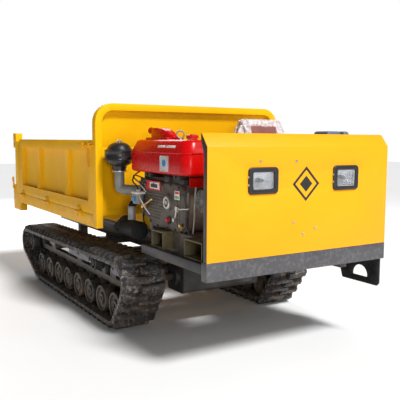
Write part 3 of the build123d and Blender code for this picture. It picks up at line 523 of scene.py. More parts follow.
PLAIN = {
    "panel_mark": black_enamel, "panel_bolts": zinc, "start_shaft": zinc,
    "speed_lever": zinc, "gearbox_pulley": dark_casting, "drive_belts": belt_rubber, "lift_rod": chrome,
    "hinge_pins": zinc, "foot_pedal": black_enamel, "tailgate_hooks": box_enamel,
    "gate_latch_left": yellow_enamel,
    "gate_latch_right": yellow_enamel,
}
for node, material in PLAIN.items():
    for slot in nodes[node].material_slots:
        slot.material = material

# %% [markdown]
# The rubber track. A real one is a moulded band with a steel core at each pitch:
# two guide horns stand up inside, and staggered bars stand out as treads. The
# band runs round four circles, so its path is the tight loop round them, and one
# pitch is modelled and carried round that path.

# %% Path of the track
WHEEL_INSIDE = 0.001
sprocket_low, sprocket_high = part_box("sprocket_left")
idler_low, idler_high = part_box("idler_left")
first_low, first_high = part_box("bottom_rollers_1")
last_low, last_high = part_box("bottom_rollers_8")
belt_low, belt_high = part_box("track_belt_left")
SPROCKET_GAP, BAND, LUG = 0.006, 0.030, 0.040


def circle(low, high, gap):
    centre = (low + high) / 2
    return Vector((centre.y, centre.z)), (high.z - low.z) / 2 + gap


CIRCLES = [circle(sprocket_low, sprocket_high, SPROCKET_GAP), circle(idler_low, idler_high, WHEEL_INSIDE),
           circle(last_low, last_high, WHEEL_INSIDE), circle(first_low, first_high, WHEEL_INSIDE)]


def track_path():
    """Straight runs and arcs of the loop, as (length, place and heading at s)."""
    legs = []
    for (c1, r1), (c2, r2) in zip(CIRCLES, CIRCLES[1:] + CIRCLES[:1]):
        way = c2 - c1
        reach = way.length
        way /= reach
        lean = (r1 - r2) / reach
        across = Vector((-way.y, way.x))
        out = across * (1 - lean * lean) ** 0.5 + way * lean
        legs.append((c1 + out * r1, c2 + out * r2, out))
    path = []
    for index, (start, end, out) in enumerate(legs):
        path.append(("run", (end - start).length, start, end, out))
        centre, radius = CIRCLES[(index + 1) % 4]
        following = legs[(index + 1) % 4][2]
        sweep = (atan2(out.y, out.x) - atan2(following.y, following.x)) % tau
        path.append(("arc", sweep * radius, centre, radius, out))
    return path


TRACK_PATH = track_path()
TRACK_LENGTH = sum(leg[1] for leg in TRACK_PATH)
PITCHES = round(TRACK_LENGTH / 0.1)
PITCH = TRACK_LENGTH / PITCHES


def on_track(s, out):
    """The point at distance s along the band's inside and out above it."""
    s %= TRACK_LENGTH
    for kind, length, a, b, normal in TRACK_PATH:
        if s <= length:
            break
        s -= length
    if kind == "run":
        return a + (b - a) * (s / length) + normal * out
    angle = atan2(normal.y, normal.x) - s / b
    return a + Vector((cos(angle), sin(angle))) * (b + out)


print("track", round(TRACK_LENGTH, 3), "m round,", PITCHES, "pitches")

# %% [markdown]
# One pitch is modelled flat. Its two tread bars lean away from each other, and
# each one is slanted and has an outer end that slopes away. An array makes the
# whole row, and the row is then bent round the path.

# %% One pitch of the track
TRACK_MIDDLE = (belt_low.x + belt_high.x) / 2
HALF_TRACK = (belt_high.x - belt_low.x) / 2


def lug_bar(name, x_in, x_out, along, slant):
    """A tread bar: wide foot, narrower crown, and an outer end that slopes away."""
    piece = block(name, (min(x_in, x_out), along - 0.026, BAND - 0.004),
                  (max(x_in, x_out), along + 0.026, BAND + LUG))
    outer = max(x_in, x_out, key=abs)
    for vertex in piece.data.vertices:
        crown = vertex.co.z > BAND
        end = abs(vertex.co.x - outer) < 1e-5
        vertex.co.y += slant * (vertex.co.x - x_in)
        if crown:
            vertex.co.y += (along + slant * (vertex.co.x - x_in) - vertex.co.y) * 0.34
            if end:
                vertex.co.x -= 0.022 if outer > 0 else -0.022
    return piece


def track_pitch():
    """Band, two tread bars and two guide horns, laid out flat along +Y."""
    band = block("pitch", (-HALF_TRACK, 0, 0), (HALF_TRACK, PITCH, BAND))
    activate(band)
    bpy.ops.object.mode_set(mode="EDIT")
    bpy.ops.mesh.select_all(action="SELECT")
    for cut in (0.25, 0.5, 0.75):
        bpy.ops.mesh.select_all(action="SELECT")
        bpy.ops.mesh.bisect(plane_co=(0, PITCH * cut, 0), plane_no=(0, 1, 0))
    rest()
    pick(band, lambda face: abs(face.normal.y) > 0.9)
    bpy.ops.mesh.delete(type="FACE")
    rest()
    pieces = [band]
    pieces.append(lug_bar("bar_out", -0.030, HALF_TRACK - 0.003, PITCH * 0.25, 0.05))
    pieces.append(lug_bar("bar_in", 0.030, -HALF_TRACK + 0.003, PITCH * 0.75, -0.05))
    for side in (-1, 1):
        x = sorted((side * 0.0288, side * 0.0380))
        horn = block("horn", (x[0], PITCH * 0.3, -0.040), (x[1], PITCH * 0.7, 0.004))
        for vertex in horn.data.vertices:
            if vertex.co.z < -0.03:
                vertex.co.y += (PITCH * 0.5 - vertex.co.y) * 0.45
        pieces.append(horn)
        pieces.append(block("rib", (side * 0.165 - 0.008, 0, BAND - 0.002),
                            (side * 0.165 + 0.008, PITCH, BAND + 0.004)))
    for piece in pieces[1:]:
        soften(piece, 0.004, 2)
    return joined("track_pitch", pieces)


def track_band(name, side):
    """All the pitches, bent round the path."""
    pitch = track_pitch()
    row = modify(pitch, "ARRAY", count=PITCHES, use_relative_offset=False, use_constant_offset=True,
                 constant_offset_displace=(0, PITCH, 0))
    for vertex in row.data.vertices:
        x, s, out = vertex.co
        place = on_track(s, out)
        vertex.co = (side * (TRACK_MIDDLE + x), place.x, place.y)
    row.name = row.data.name = name
    activate(row)
    bpy.ops.object.mode_set(mode="EDIT")
    bpy.ops.mesh.select_all(action="SELECT")
    bpy.ops.mesh.remove_doubles(threshold=0.0002)
    bpy.ops.mesh.normals_make_consistent(inside=False)
    rest()
    activate(row)
    bpy.ops.object.shade_smooth_by_angle(angle=radians(35))
    return row


for side, word in ((1, "left"), (-1, "right")):
    fitted(track_band(f"rubber_track_{word}", side), track_rubber, "chassis", "track_rubber",
           f"track_belt_{word}")

# %% [markdown]
# Each roller is a pair of dished discs on a greased hub. A disc is easiest as a
# short cylinder whose outer face is inset and pushed in, then pushed out again for
# the hub cap, with a ring of bolts. One is made and copied to every axle.

# %% Rollers, idlers and carriers
HUB_BOLTS = 6


def dished_disc(radius, x_in, x_out):
    """A disc along X at the origin, dished on its outer face, with its hub cap."""
    disc = rod("disc", (x_in, 0, 0), (x_out, 0, 0), radius, sides=56)
    step(disc, facing((1, 0, 0)), (radius * 0.16, 0), (radius * 0.03, -0.014), (radius * 0.34, 0),
         (radius * 0.02, 0.016), (radius * 0.12, 0), (radius * 0.02, -0.004))
    step(disc, facing((-1, 0, 0)), (radius * 0.2, 0), (radius * 0.03, -0.010), (radius * 0.4, 0),
         (0.002, 0.010))
    soften(disc, 0.0025, 2, 30)
    bolts = []
    for i in range(HUB_BOLTS):
        angle = tau * i / HUB_BOLTS
        y, z = cos(angle) * radius * 0.40, sin(angle) * radius * 0.40
        bolts.append(hexagon("bolt", (x_out - 0.012, y, z), (x_out - 0.003, y, z), 0.0075))
    nut = hexagon("nut", (x_out - 0.004, 0, 0), (x_out + 0.006, 0, 0), radius * 0.13)
    return joined("disc", [disc, nut, *bolts])


def wheel_set(radius):
    """Both discs and the axle between them, about the track's middle."""
    outer = dished_disc(radius, 0.040, 0.120)
    inner = copied(outer, "inner", mirror_x=True)
    axle = rod("axle", (-0.115, 0, 0), (0.115, 0, 0), 0.0248)
    return joined("wheel_set", [outer, inner, axle])


def placed_wheels(model, name, node, sides):
    """The model copied to a node's axle, on one side or on both."""
    low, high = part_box(node)
    centre = (low + high) / 2
    wheels = []
    for side in sides:
        wheels.append(copied(model, name + str(side), (side * TRACK_MIDDLE, centre.y, centre.z)))
    wheel = joined(name, wheels)
    return fitted(wheel, wheel_paint, BODY_OF[node], "wheel_steel", node)


roller_model = wheel_set(0.104)
for number in range(1, 9):
    placed_wheels(roller_model, f"roller_pair_{number}", f"bottom_rollers_{number}", (-1, 1))
placed_wheels(roller_model, "front_idler_left", "idler_left", (1,))
placed_wheels(roller_model, "front_idler_right", "idler_right", (-1,))
carrier_model = wheel_set(0.059)
placed_wheels(carrier_model, "carrier_pair", "carrier_rollers", (-1, 1))
for model in (roller_model, carrier_model):
    bpy.data.objects.remove(model)

# %% [markdown]
# More ways to start a shape. A turned part is a profile spun round its own axis,
# and a hose or a bent pipe is a smooth line with a round section. Both are made
# as one would by hand: the profile is drawn point by point and spun, and the
# line is a curve given a bevel and then made a mesh.

# %% Turned parts and pipes


def turned(name, centre, axis, profile, steps=48):
    """Spins (radius, height) points round an axis through centre."""
    rest()
    bpy.ops.mesh.primitive_plane_add(size=0.01, location=(0, 0, 0))
    piece = bpy.context.object
    bpy.ops.object.mode_set(mode="EDIT")
    bpy.ops.mesh.select_all(action="SELECT")
    bpy.ops.mesh.merge(type="CENTER")
    mesh = bmesh.from_edit_mesh(piece.data)
    for vertex in mesh.verts:
        vertex.co = (profile[0][0], 0, profile[0][1])
        vertex.select_set(True)
    bmesh.update_edit_mesh(piece.data)
    for (r1, h1), (r2, h2) in zip(profile, profile[1:]):
        bpy.ops.mesh.extrude_vertices_move(TRANSFORM_OT_translate={"value": (r2 - r1, 0, h2 - h1)})
    bpy.ops.mesh.select_all(action="SELECT")
    bpy.ops.mesh.spin(steps=steps, angle=tau, center=(0, 0, 0), axis=(0, 0, 1))
    bpy.ops.mesh.select_all(action="SELECT")
    bpy.ops.mesh.remove_doubles(threshold=0.00005)
    bpy.ops.mesh.normals_make_consistent(inside=False)
    rest()
    turned_to = Vector(axis).to_track_quat("Z", "Y").to_matrix().to_4x4()
    piece.matrix_world = Matrix.Translation(centre) @ turned_to
    settle(piece, name)
    bpy.ops.object.shade_smooth_by_angle(angle=radians(38))
    return piece


def pipe(name, points, radius, smooth=4, sides=6):
    """A round pipe along a smooth line whose points guide it."""
    curve = bpy.data.curves.new(name, "CURVE")
    curve.dimensions = "3D"
    line = curve.splines.new("NURBS")
    line.points.add(len(points) - 1)
    for point, place in zip(line.points, points):
        point.co = (*place, 1)
    line.order_u = min(smooth, len(points))
    line.use_endpoint_u = True
    line.resolution_u = 10
    curve.bevel_depth, curve.bevel_resolution, curve.use_fill_caps = radius, sides, True
    rest()
    piece = bpy.data.objects.new(name, curve)
    bpy.context.collection.objects.link(piece)
    activate(piece)
    bpy.ops.object.convert(target="MESH")
    bpy.ops.object.mode_set(mode="EDIT")
    bpy.ops.mesh.select_all(action="SELECT")
    bpy.ops.mesh.remove_doubles(threshold=0.00002)
    bpy.ops.mesh.normals_make_consistent(inside=False)
    rest()
    settle(piece, name)
    bpy.ops.object.shade_smooth_by_angle(angle=radians(50))
    return piece


def sliced(piece, axis, places):
    """Cuts a piece across an axis at the given places, so that it can bend there."""
    activate(piece)
    bpy.ops.object.mode_set(mode="EDIT")
    for place in places:
        point = [0, 0, 0]
        normal = [0, 0, 0]
        point[axis], normal[axis] = place, 1
        bpy.ops.mesh.select_all(action="SELECT")
        bpy.ops.mesh.bisect(plane_co=point, plane_no=normal)
    rest()
    return piece


def bolt(name, place, axis, size=0.009):
    """A hexagon head on a washer, standing up along axis."""
    axis = Vector(axis).normalized()
    place = Vector(place)
    washer = rod(name, place, place + axis * size * 0.22, size * 1.25, sides=20)
    head = hexagon(name, place + axis * size * 0.2, place + axis * size * 0.95, size)
    soften(head, size * 0.1, 1, 40)
    return joined(name, [washer, head])


# %% [markdown]
# The fuel tank is two pressings seam-welded together: the lower one has upright
# walls, and the upper one leans in to the filler. A block is enough to start
# from. Its upright corners are bevelled wide, the seam and the shoulder are cut
# across it, and the top face is scaled in.

# %% Fuel tank
tank_low, tank_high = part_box("fuel_tank")
TANK_LOW = Vector((tank_low.x + 0.004, tank_low.y + 0.004, tank_low.z))
TANK_TOP, TANK_SEAM = 1.436, 1.350
TANK_HIGH = Vector((tank_high.x - 0.004, tank_high.y - 0.004, TANK_TOP))


def tank_shell(name, low, high, corner):
    """A block with wide upright corners."""
    shell = block(name, low, high)
    activate(shell)
    bpy.ops.object.mode_set(mode="EDIT")
    bpy.ops.mesh.select_mode(type="EDGE")
    bpy.ops.mesh.select_all(action="DESELECT")
    mesh = bmesh.from_edit_mesh(shell.data)
    for edge in mesh.edges:
        a, b = (vertex.co for vertex in edge.verts)
        edge.select_set(abs(a.z - b.z) > 0.001 and abs(a.x - b.x) < 0.001)
    bmesh.update_edit_mesh(shell.data)
    bpy.ops.mesh.bevel(offset=corner, segments=10, affect="EDGES")
    rest()
    return shell


tank = tank_shell("fuel_tank_shell", TANK_LOW, TANK_HIGH, 0.080)
sliced(tank, 2, (TANK_SEAM,))
middle = (TANK_LOW + TANK_HIGH) / 2
for vertex in tank.data.vertices:
    if vertex.co.z > TANK_SEAM + 0.01:
        offset = vertex.co - middle
        reach_x, reach_y = TANK_HIGH.x - middle.x, TANK_HIGH.y - middle.y
        vertex.co.x = middle.x + offset.x * (reach_x - 0.038) / reach_x
        vertex.co.y = middle.y + offset.y * (reach_y - 0.038) / reach_y
modify(tank, "BEVEL", width=0.022, segments=5, limit_method="ANGLE", angle_limit=radians(40))
bpy.ops.object.shade_smooth_by_angle(angle=radians(30))
flange = tank_shell("tank_seam", TANK_LOW.xyz - Vector((0.004, 0.004, 0)),
                    TANK_HIGH.xyz + Vector((0.004, 0.004, 0)), 0.084)
for vertex in flange.data.vertices:
    vertex.co.z = TANK_SEAM + (0.005 if vertex.co.z > TANK_SEAM else -0.005)
soften(flange, 0.002, 2)
neck = turned("tank_neck", (-0.470, PANEL_FACE + 0.640, 1.432), (0, 0, 1),
              [(0.0, 0.012), (0.030, 0.012), (0.034, 0.011), (0.036, 0.008), (0.038, 0.0), (0.052, 0.0),
               (0.055, -0.004)])
tank = joined("fuel_tank_shell", [tank, flange, neck])
fitted(tank, red_enamel, "chassis", "red_paint", "fuel_tank")
plate = block("tank_plate", at(-0.7035, 0.560, 1.225), at(-0.6995, 0.680, 1.330))
step(plate, facing((-1, 0, 0)), (0.006, 0), (0.001, -0.001))
fitted(soften(plate, 0.0008, 1), plate_metal, "chassis", "red_paint")
dot = rod("tank_plate_dot", at(-0.7045, 0.622, 1.282), at(-0.7020, 0.622, 1.282), 0.024, sides=32)
step(dot, facing((-1, 0, 0)), (0.008, 0), (0.001, -0.001))
fitted(dot, blue_plastic, "chassis", "red_paint")
stripes = []
for start, end in ((0.500, 0.625), (0.640, 0.745)):
    bar = block("stripe", at(-0.7005, start, 1.383), at(-0.6700, end, 1.399))
    for vertex in bar.data.vertices:
        vertex.co.x += (vertex.co.z - TANK_SEAM) * 0.44 - 0.0008
    stripes.append(soften(bar, 0.001, 1))
fitted(joined("tank_stripes", stripes), white_paint, "chassis", "red_paint")
print("tank faces", len(tank.data.polygons))

# %% [markdown]
# The cap has a fluted grip so that an oily hand can turn it. The flutes are one
# rib copied round the rim.

# %% Fuel cap
cap_low, cap_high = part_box("fuel_cap")
cap_middle = Vector(((cap_low.x + cap_high.x) / 2, (cap_low.y + cap_high.y) / 2, cap_low.z))
CAP_R = (cap_high.x - cap_low.x) / 2
CAP_HEIGHT = cap_high.z - cap_low.z
cap = turned("cap", cap_middle, (0, 0, 1), [
    (0.0, CAP_HEIGHT), (CAP_R * 0.45, CAP_HEIGHT), (CAP_R * 0.5, CAP_HEIGHT - 0.003),
    (CAP_R * 0.8, CAP_HEIGHT - 0.004),
    (CAP_R * 0.9, CAP_HEIGHT - 0.006), (CAP_R * 0.94, CAP_HEIGHT - 0.010), (CAP_R * 0.94, 0.006),
    (CAP_R, 0.005),
    (CAP_R, 0.0), (0.0, 0.0)])
FLUTES = 20
flutes = [cap]
for i in range(FLUTES):
    angle = tau * i / FLUTES
    place = cap_middle + Vector((cos(angle), sin(angle), 0)) * CAP_R * 0.94
    flutes.append(rod("flute", place + Vector((0, 0, 0.005)), place + Vector((0, 0, CAP_HEIGHT - 0.008)),
                      0.0030, sides=8))
fitted(joined("fuel_cap_fluted", flutes), red_enamel, "fuel_cap", "red_paint", "fuel_cap")

# %% [markdown]
# Behind the cap stand the lifting ring, which the whole engine hangs from, and
# the red cowl of the radiator filler. The cowl is a block that is cut across
# and given a different width and height at each cut, like a small boat hull.

# %% Lifting ring and cowl
ring_middle = at(-0.520, 0.716, 1.473)
eye = [ring("eye", ring_middle, (0.35, 1, 0), 0.026, 0.0052, 40, 12),
       rod("shank", at(-0.520, 0.716, TANK_TOP - 0.004), at(-0.520, 0.716, 1.452), 0.007),
       hexagon("nut", at(-0.520, 0.716, TANK_TOP - 0.002), at(-0.520, 0.716, TANK_TOP + 0.007), 0.013)]
bpy.ops.object.shade_smooth_by_angle(angle=radians(40))
fitted(joined("lifting_ring", eye), zinc, "chassis", "zinc_steel")

COWL_STATIONS = ((0.778, 0.026, 1.458), (0.805, 0.036, 1.470), (0.860, 0.044, 1.492), (0.920, 0.048, 1.512),
                 (1.000, 0.048, 1.522), (1.060, 0.042, 1.523), (1.100, 0.034, 1.522))
cowl = block("cowl", at(-0.568, COWL_STATIONS[0][0], 1.450), at(-0.472, COWL_STATIONS[-1][0], 1.523))
sliced(cowl, 1, [PANEL_FACE + y for y, half, top in COWL_STATIONS[1:-1]])
sliced(cowl, 2, (1.475, 1.500))
for vertex in cowl.data.vertices:
    behind = vertex.co.y - PANEL_FACE
    y, half, top = min(COWL_STATIONS, key=lambda station: abs(station[0] - behind))
    rise = (vertex.co.z - 1.450) / (1.523 - 1.450)
    side = 1 if vertex.co.x > -0.520 else -1
    vertex.co.x = -0.520 + side * half * (1 - 0.28 * rise ** 2)
    vertex.co.z = 1.450 + rise * (top - 1.450)
soften(cowl, 0.008, 4, 50)
mouth = turned("mouth", at(-0.520, 1.088, 1.500), (0, 1, 0.04), [
    (0.0, 0.004), (0.017, 0.004), (0.019, 0.072), (0.021, 0.080), (0.025, 0.080), (0.026, 0.076),
    (0.024, 0.068),
    (0.022, 0.030), (0.024, 0.0)])
foot = block("foot", at(-0.590, 0.790, TANK_TOP - 0.002), at(-0.450, 1.120, TANK_TOP + 0.016))
soften(foot, 0.005, 3)
skirt = block("skirt", at(-0.572, 0.786, TANK_TOP + 0.012), at(-0.468, 1.112, 1.453))
soften(skirt, 0.004, 2)
fitted(joined("filler_cowl", [cowl, mouth, foot, skirt]), red_enamel, "chassis", "red_paint")

# %% [markdown]
# The air cleaner draws through the gap under its wide rim, down through an oil
# bath, and into the grey intake pipe, which a band clamp holds. All of it is
# turned, apart from the pipe.

# %% Air cleaner and intake pipe
cleaner_low, cleaner_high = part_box("air_cleaner")
AIR = Vector(((cleaner_low.x + cleaner_high.x) / 2, (cleaner_low.y + cleaner_high.y) / 2, 0))
AIR_R = (cleaner_high.x - cleaner_low.x) / 2
cleaner = turned("air_cleaner_body", AIR, (0, 0, 1), [
    (0.0, 1.195), (0.047, 1.195), (0.052, 1.199), (0.052, 1.212), (0.056, 1.232), (0.066, 1.240),
    (0.088, 1.252),
    (0.096, 1.264), (0.098, 1.279), (AIR_R - 0.005, 1.280), (AIR_R, 1.284), (AIR_R, 1.300),
    (AIR_R - 0.002, 1.303),
    (AIR_R - 0.002, 1.344), (AIR_R, 1.347), (AIR_R - 0.001, 1.353), (AIR_R - 0.006, 1.357),
    (AIR_R - 0.012, 1.357),
    (AIR_R - 0.015, 1.361), (0.090, 1.372), (0.082, 1.386), (0.068, 1.400), (0.050, 1.410), (0.026, 1.416),
    (0.010, 1.418), (0.0, 1.4185)], 64)
fitted(cleaner, black_enamel, "chassis", "black_paint", "air_cleaner")
wing = [rod("stud", AIR + Vector((0, 0, 1.412)), AIR + Vector((0, 0, 1.436)), 0.004, sides=16),
        rod("hub", AIR + Vector((0, 0, 1.417)), AIR + Vector((0, 0, 1.427)), 0.008, 0.006, 20)]
for side in (-1, 1):
    ear = block("ear", AIR + Vector((min(0, side * 0.020), -0.0018, 1.420)),
                AIR + Vector((max(0, side * 0.020), 0.0018, 1.433)))
    wing.append(soften(ear, 0.0015, 2))
fitted(joined("cleaner_wing_nut", wing), zinc, "chassis", "zinc_steel")

head_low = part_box("cylinder_head")[0]
PORT = Vector((head_low.x, PANEL_FACE + 1.150, 1.055))
knee = AIR + Vector((0, 0, 1.055))
toward = (PORT - knee).normalized()
intake = pipe("intake_pipe", [AIR + Vector((0, 0, 1.206)), AIR + Vector((0, 0, 1.160)),
                              AIR + Vector((0, 0, 1.100)),
                              knee + Vector((0, 0, 0.002)), knee + toward * 0.055, knee + toward * 0.110,
                              PORT - toward * 0.020], 0.0385, 4, 8)
seat = block("seat", (PORT.x - 0.022, PORT.y - 0.050, PORT.z - 0.045),
             (PORT.x + 0.002, PORT.y + 0.040, PORT.z + 0.045))
soften(seat, 0.008, 3)
fitted(joined("intake_pipe", [intake, seat]), grey_paint, "chassis", "cast_engine", "intake_elbow")
band = [turned("band", AIR + Vector((0, 0, 1.190)), (0, 0, 1),
               [(0.0400, 0.0), (0.0560, 0.0), (0.0580, 0.002), (0.0580, 0.009), (0.0560, 0.011),
                (0.0400, 0.013)])]
band.append(soften(block("lug", AIR + Vector((-0.058, -0.006, 1.190)),
                         AIR + Vector((-0.040, 0.006, 1.203))), 0.002, 2))
band.append(rod("screw", AIR + Vector((-0.051, -0.018, 1.1965)), AIR + Vector((-0.051, 0.018, 1.1965)),
                0.0035, sides=12))
fitted(joined("intake_clamp", band), zinc, "chassis", "zinc_steel")

# %% [markdown]
# The muffler is a rolled can with crimped ends. A heat sleeve leads down to it
# from the head and a short bend leads away from it, open at its end.

# %% Muffler
CAN_R = 0.068
can = turned("can", at(-0.690, 1.000, 0.772), (0, 1, 0), [
    (0.0, 0.006), (0.040, 0.004), (0.056, 0.010), (0.060, 0.014), (CAN_R, 0.014), (CAN_R, 0.020),
    (0.065, 0.024),
    (0.065, 0.246), (CAN_R, 0.250), (CAN_R, 0.256), (0.060, 0.256), (0.056, 0.260), (0.040, 0.266),
    (0.0, 0.264)])
stub = pipe("stub", [at(-0.690, 1.180, 0.800), at(-0.696, 1.222, 0.842), at(-0.704, 1.262, 0.828),
                     at(-0.712, 1.305, 0.792), at(-0.720, 1.350, 0.757)], 0.033, 4, 8)
away = Vector((-0.008, 0.045, -0.035)).normalized()
step(stub, lambda face: face.normal.dot(away) > 0.93 and face.calc_area() > 0.0008, (0.004, 0),
     (0.001, -0.06))
elbow = pipe("elbow", [at(-0.690, 1.154, 0.930), at(-0.690, 1.154, 0.965), at(-0.655, 1.154, 0.985),
                       at(-0.580, 1.150, 0.980)], 0.026, 4, 8)
fitted(joined("muffler_can", [can, stub, elbow]), soot_black, "chassis", "black_paint", "muffler")
sleeve = turned("heat_sleeve", at(-0.690, 1.154, 0.838), (0, 0, 1), [
    (0.0, 0.0), (0.028, 0.0), (0.030, 0.003), (0.030, 0.020), (0.0285, 0.024), (0.0285, 0.082),
    (0.030, 0.086),
    (0.030, 0.099), (0.028, 0.102), (0.0, 0.102)])
fitted(sleeve, sleeve_paint, "chassis", "zinc_steel")

# %% [markdown]
# The gear cover is the face that the engine shows: a flat casting with a bolt
# every few centimetres round its edge, cooling ribs on its rear half, and the
# boss where the starting handle goes in.

# %% Gear cover details
COVER_X = -0.660
COVER_RIM = ((0.440, 1.080), (0.490, 1.122), (0.600, 1.134), (0.720, 1.132), (0.840, 1.128), (0.955, 1.122),
             (1.008, 1.080), (1.010, 0.985), (1.006, 0.910), (0.900, 0.858), (0.790, 0.836), (0.650, 0.836),
             (0.535, 0.836), (0.440, 0.884), (0.438, 0.985))
heads = [bolt("cover_bolt", at(COVER_X, y, z), (-1, 0, 0), 0.0085) for y, z in COVER_RIM]
fitted(joined("cover_bolts", heads), dark_casting, "chassis", "cast_engine")
ribs = []
for i in range(9):
    z = 0.884 + i * 0.021
    rib = block("rib", at(COVER_X - 0.005, 0.712 + 0.10 * max(0, 0.5 - i / 9), z),
                at(COVER_X + 0.01, 0.985, z + 0.0075))
    ribs.append(soften(rib, 0.0018, 2))
for y, z0, z1 in ((0.512, 0.850, 1.080), (0.480, 0.880, 1.060), (0.700, 1.090, 1.120)):
    rib = block("rib", at(COVER_X - 0.006, y, z0), at(COVER_X + 0.01, y + 0.010, z1))
    ribs.append(soften(rib, 0.002, 2))
fitted(joined("cover_ribs", ribs), cast_iron, "chassis", "cast_engine")
START = at(COVER_X, 0.624, 1.014)
boss = turned("start_boss", START, (-1, 0, 0), [
    (0.0142, -0.010), (0.0142, 0.006), (0.022, 0.010), (0.027, 0.022), (0.034, 0.024), (0.043, 0.022),
    (0.046, 0.016),
    (0.048, 0.006), (0.058, 0.0), (0.060, -0.008)])
fitted(boss, cast_iron, "chassis", "cast_engine")
lip = turned("start_boss_lip", START, (-1, 0, 0),
             [(0.026, 0.020), (0.030, 0.0262), (0.040, 0.0262), (0.044, 0.021)])
fitted(lip, zinc, "chassis", "zinc_steel")
recess = turned("plug_recess", at(COVER_X, 0.622, 0.895), (-1, 0, 0), [
    (0.0, 0.001), (0.022, 0.001), (0.023, 0.008), (0.028, 0.008), (0.030, 0.0), (0.030, -0.008)])
fitted(recess, dark_casting, "chassis", "cast_engine")
plug = turned("oil_plug", at(COVER_X - 0.001, 0.645, 0.893), (-1, 0, 0), [
    (0.0, 0.014), (0.012, 0.014), (0.014, 0.012), (0.014, 0.004), (0.019, 0.003), (0.019, 0.0)], 24)
fitted(plug, tag_red, "chassis", "red_paint")

# %% [markdown]
# Small pieces on the cover: plain plates where the real one has its stickers, a
# stop pin and a drain cock. The plates carry bars of colour and no lettering.

# %% Plates, pins and cocks on the cover
label = block("data_plate", at(COVER_X - 0.0065, 0.744, 1.083), at(COVER_X - 0.003, 0.965, 1.147))
step(label, facing((-1, 0, 0)), (0.009, 0), (0.0005, -0.0008))
fitted(soften(label, 0.0006, 1), tag_red, "chassis", "red_paint")
inset_plate = block("data_plate_face", at(COVER_X - 0.0068, 0.754, 1.092),
                    at(COVER_X - 0.004, 0.900, 1.138))
fitted(soften(inset_plate, 0.0006, 1), plate_metal, "chassis", "zinc_steel")
band = block("data_plate_band", at(COVER_X - 0.0074, 0.784, 1.101), at(COVER_X - 0.005, 0.884, 1.127))
fitted(soften(band, 0.0005, 1), black_plastic, "chassis", "cast_engine")
service = block("service_plate", at(COVER_X - 0.0062, 0.473, 1.043), at(COVER_X - 0.003, 0.541, 1.102))
fitted(soften(service, 0.0006, 1), plate_metal, "chassis", "zinc_steel")
for z, material, word in ((1.050, green_paint, "lower"), (1.080, tag_red, "upper")):
    spot = block("service_" + word, at(COVER_X - 0.0068, 0.480, z), at(COVER_X - 0.005, 0.534, z + 0.017))
    fitted(soften(spot, 0.0005, 1), material, "chassis", "red_paint")
pin = [rod("pin", at(COVER_X, 0.504, 0.980), at(COVER_X - 0.012, 0.345, 0.998), 0.0080, 0.0065, 20),
       turned("collar", at(COVER_X, 0.508, 0.979), (-1, 0, 0),
              [(0.0, 0.012), (0.012, 0.012), (0.020, 0.009), (0.022, 0.0)], 28)]
fitted(joined("stop_pin", pin), plate_metal, "chassis", "zinc_steel")
cock = [rod("body", at(COVER_X, 0.443, 0.879), at(COVER_X - 0.026, 0.443, 0.879), 0.010, sides=20),
        rod("spout", at(COVER_X - 0.016, 0.443, 0.882), at(COVER_X - 0.016, 0.425, 0.850), 0.006, sides=16),
        rod("handle", at(COVER_X - 0.022, 0.455, 0.896), at(COVER_X - 0.022, 0.405, 0.868), 0.004,
            sides=12)]
softened(cock, 0.001, 1)
fitted(joined("drain_cock", cock), brass, "chassis", "zinc_steel")

# %% [markdown]
# Between the cover and the tank is the tank's cradle, and behind the cover are
# the small parts that a mechanic reaches for: the fuel filter with its clamp,
# the stop lever, the injector, and the formed pipes and wires that join them.

# %% Cradle, filter and formed pipes
cradle = [block("deck", at(-0.640, 0.470, 1.140), at(-0.370, 1.040, 1.176)),
          block("front_foot", at(-0.655, 0.500, 1.170), at(-0.350, 0.585, 1.207)),
          block("rear_foot", at(-0.655, 0.920, 1.170), at(-0.350, 1.010, 1.207)),
          block("lug", at(-0.668, 0.620, 1.150), at(-0.620, 0.680, 1.192)),
          block("rear_lug", at(-0.672, 0.955, 1.128), at(-0.610, 1.040, 1.160))]
softened(cradle, 0.005, 3)
for y in (0.542, 0.965):
    cradle.append(bolt("cradle_bolt", at(-0.655, y, 1.188), (-1, 0, 0), 0.010))
fitted(joined("tank_cradle", cradle), dark_casting, "chassis", "cast_engine")
tongue = block("tank_tongue", at(-0.620, 0.418, 1.128), at(-0.510, 0.424, 1.190))
fitted(soften(tongue, 0.002, 2), red_enamel, "chassis", "red_paint")
FILTER = at(-0.700, 1.022, 0)
canister = turned("filter_canister", FILTER, (0, 0, 1), [
    (0.0, 0.968), (0.026, 0.969), (0.037, 0.975), (0.040, 0.984), (0.040, 1.034), (0.042, 1.037),
    (0.042, 1.044), (0.0, 1.044)])
fitted(canister, grey_paint, "chassis", "cast_engine")
clamp_parts = [block("clamp", at(-0.735, 0.980, 1.043), at(-0.660, 1.066, 1.060)),
               rod("neck", at(-0.700, 1.022, 1.058), at(-0.700, 1.022, 1.074), 0.014)]
softened(clamp_parts, 0.004, 3)
fitted(joined("filter_clamp", clamp_parts), white_paint, "chassis", "zinc_steel")
tag = block("filter_tag", at(-0.744, 0.992, 0.992), at(-0.736, 1.046, 1.026))
fitted(soften(tag, 0.002, 2), blue_plastic, "chassis", "cast_engine")
stop_lever = [rod("stem", at(-0.700, 0.937, 0.963), at(-0.700, 0.808, 1.022), 0.0065, 0.005, 20),
              ball("end", at(-0.700, 0.806, 1.023), 0.011),
              rod("hub", at(-0.655, 0.940, 0.962), at(-0.712, 0.940, 0.962), 0.016)]
softened(stop_lever, 0.001, 2)
fitted(joined("stop_lever", stop_lever), brass, "chassis", "zinc_steel")
guard = [ring("hoop", at(-0.602, 0.300, 1.049), (-1, 0, 0), radius, 0.0026, 40, 6)
         for radius in (0.068, 0.056, 0.044, 0.032, 0.020)]
GUARD_SPOKES = 8
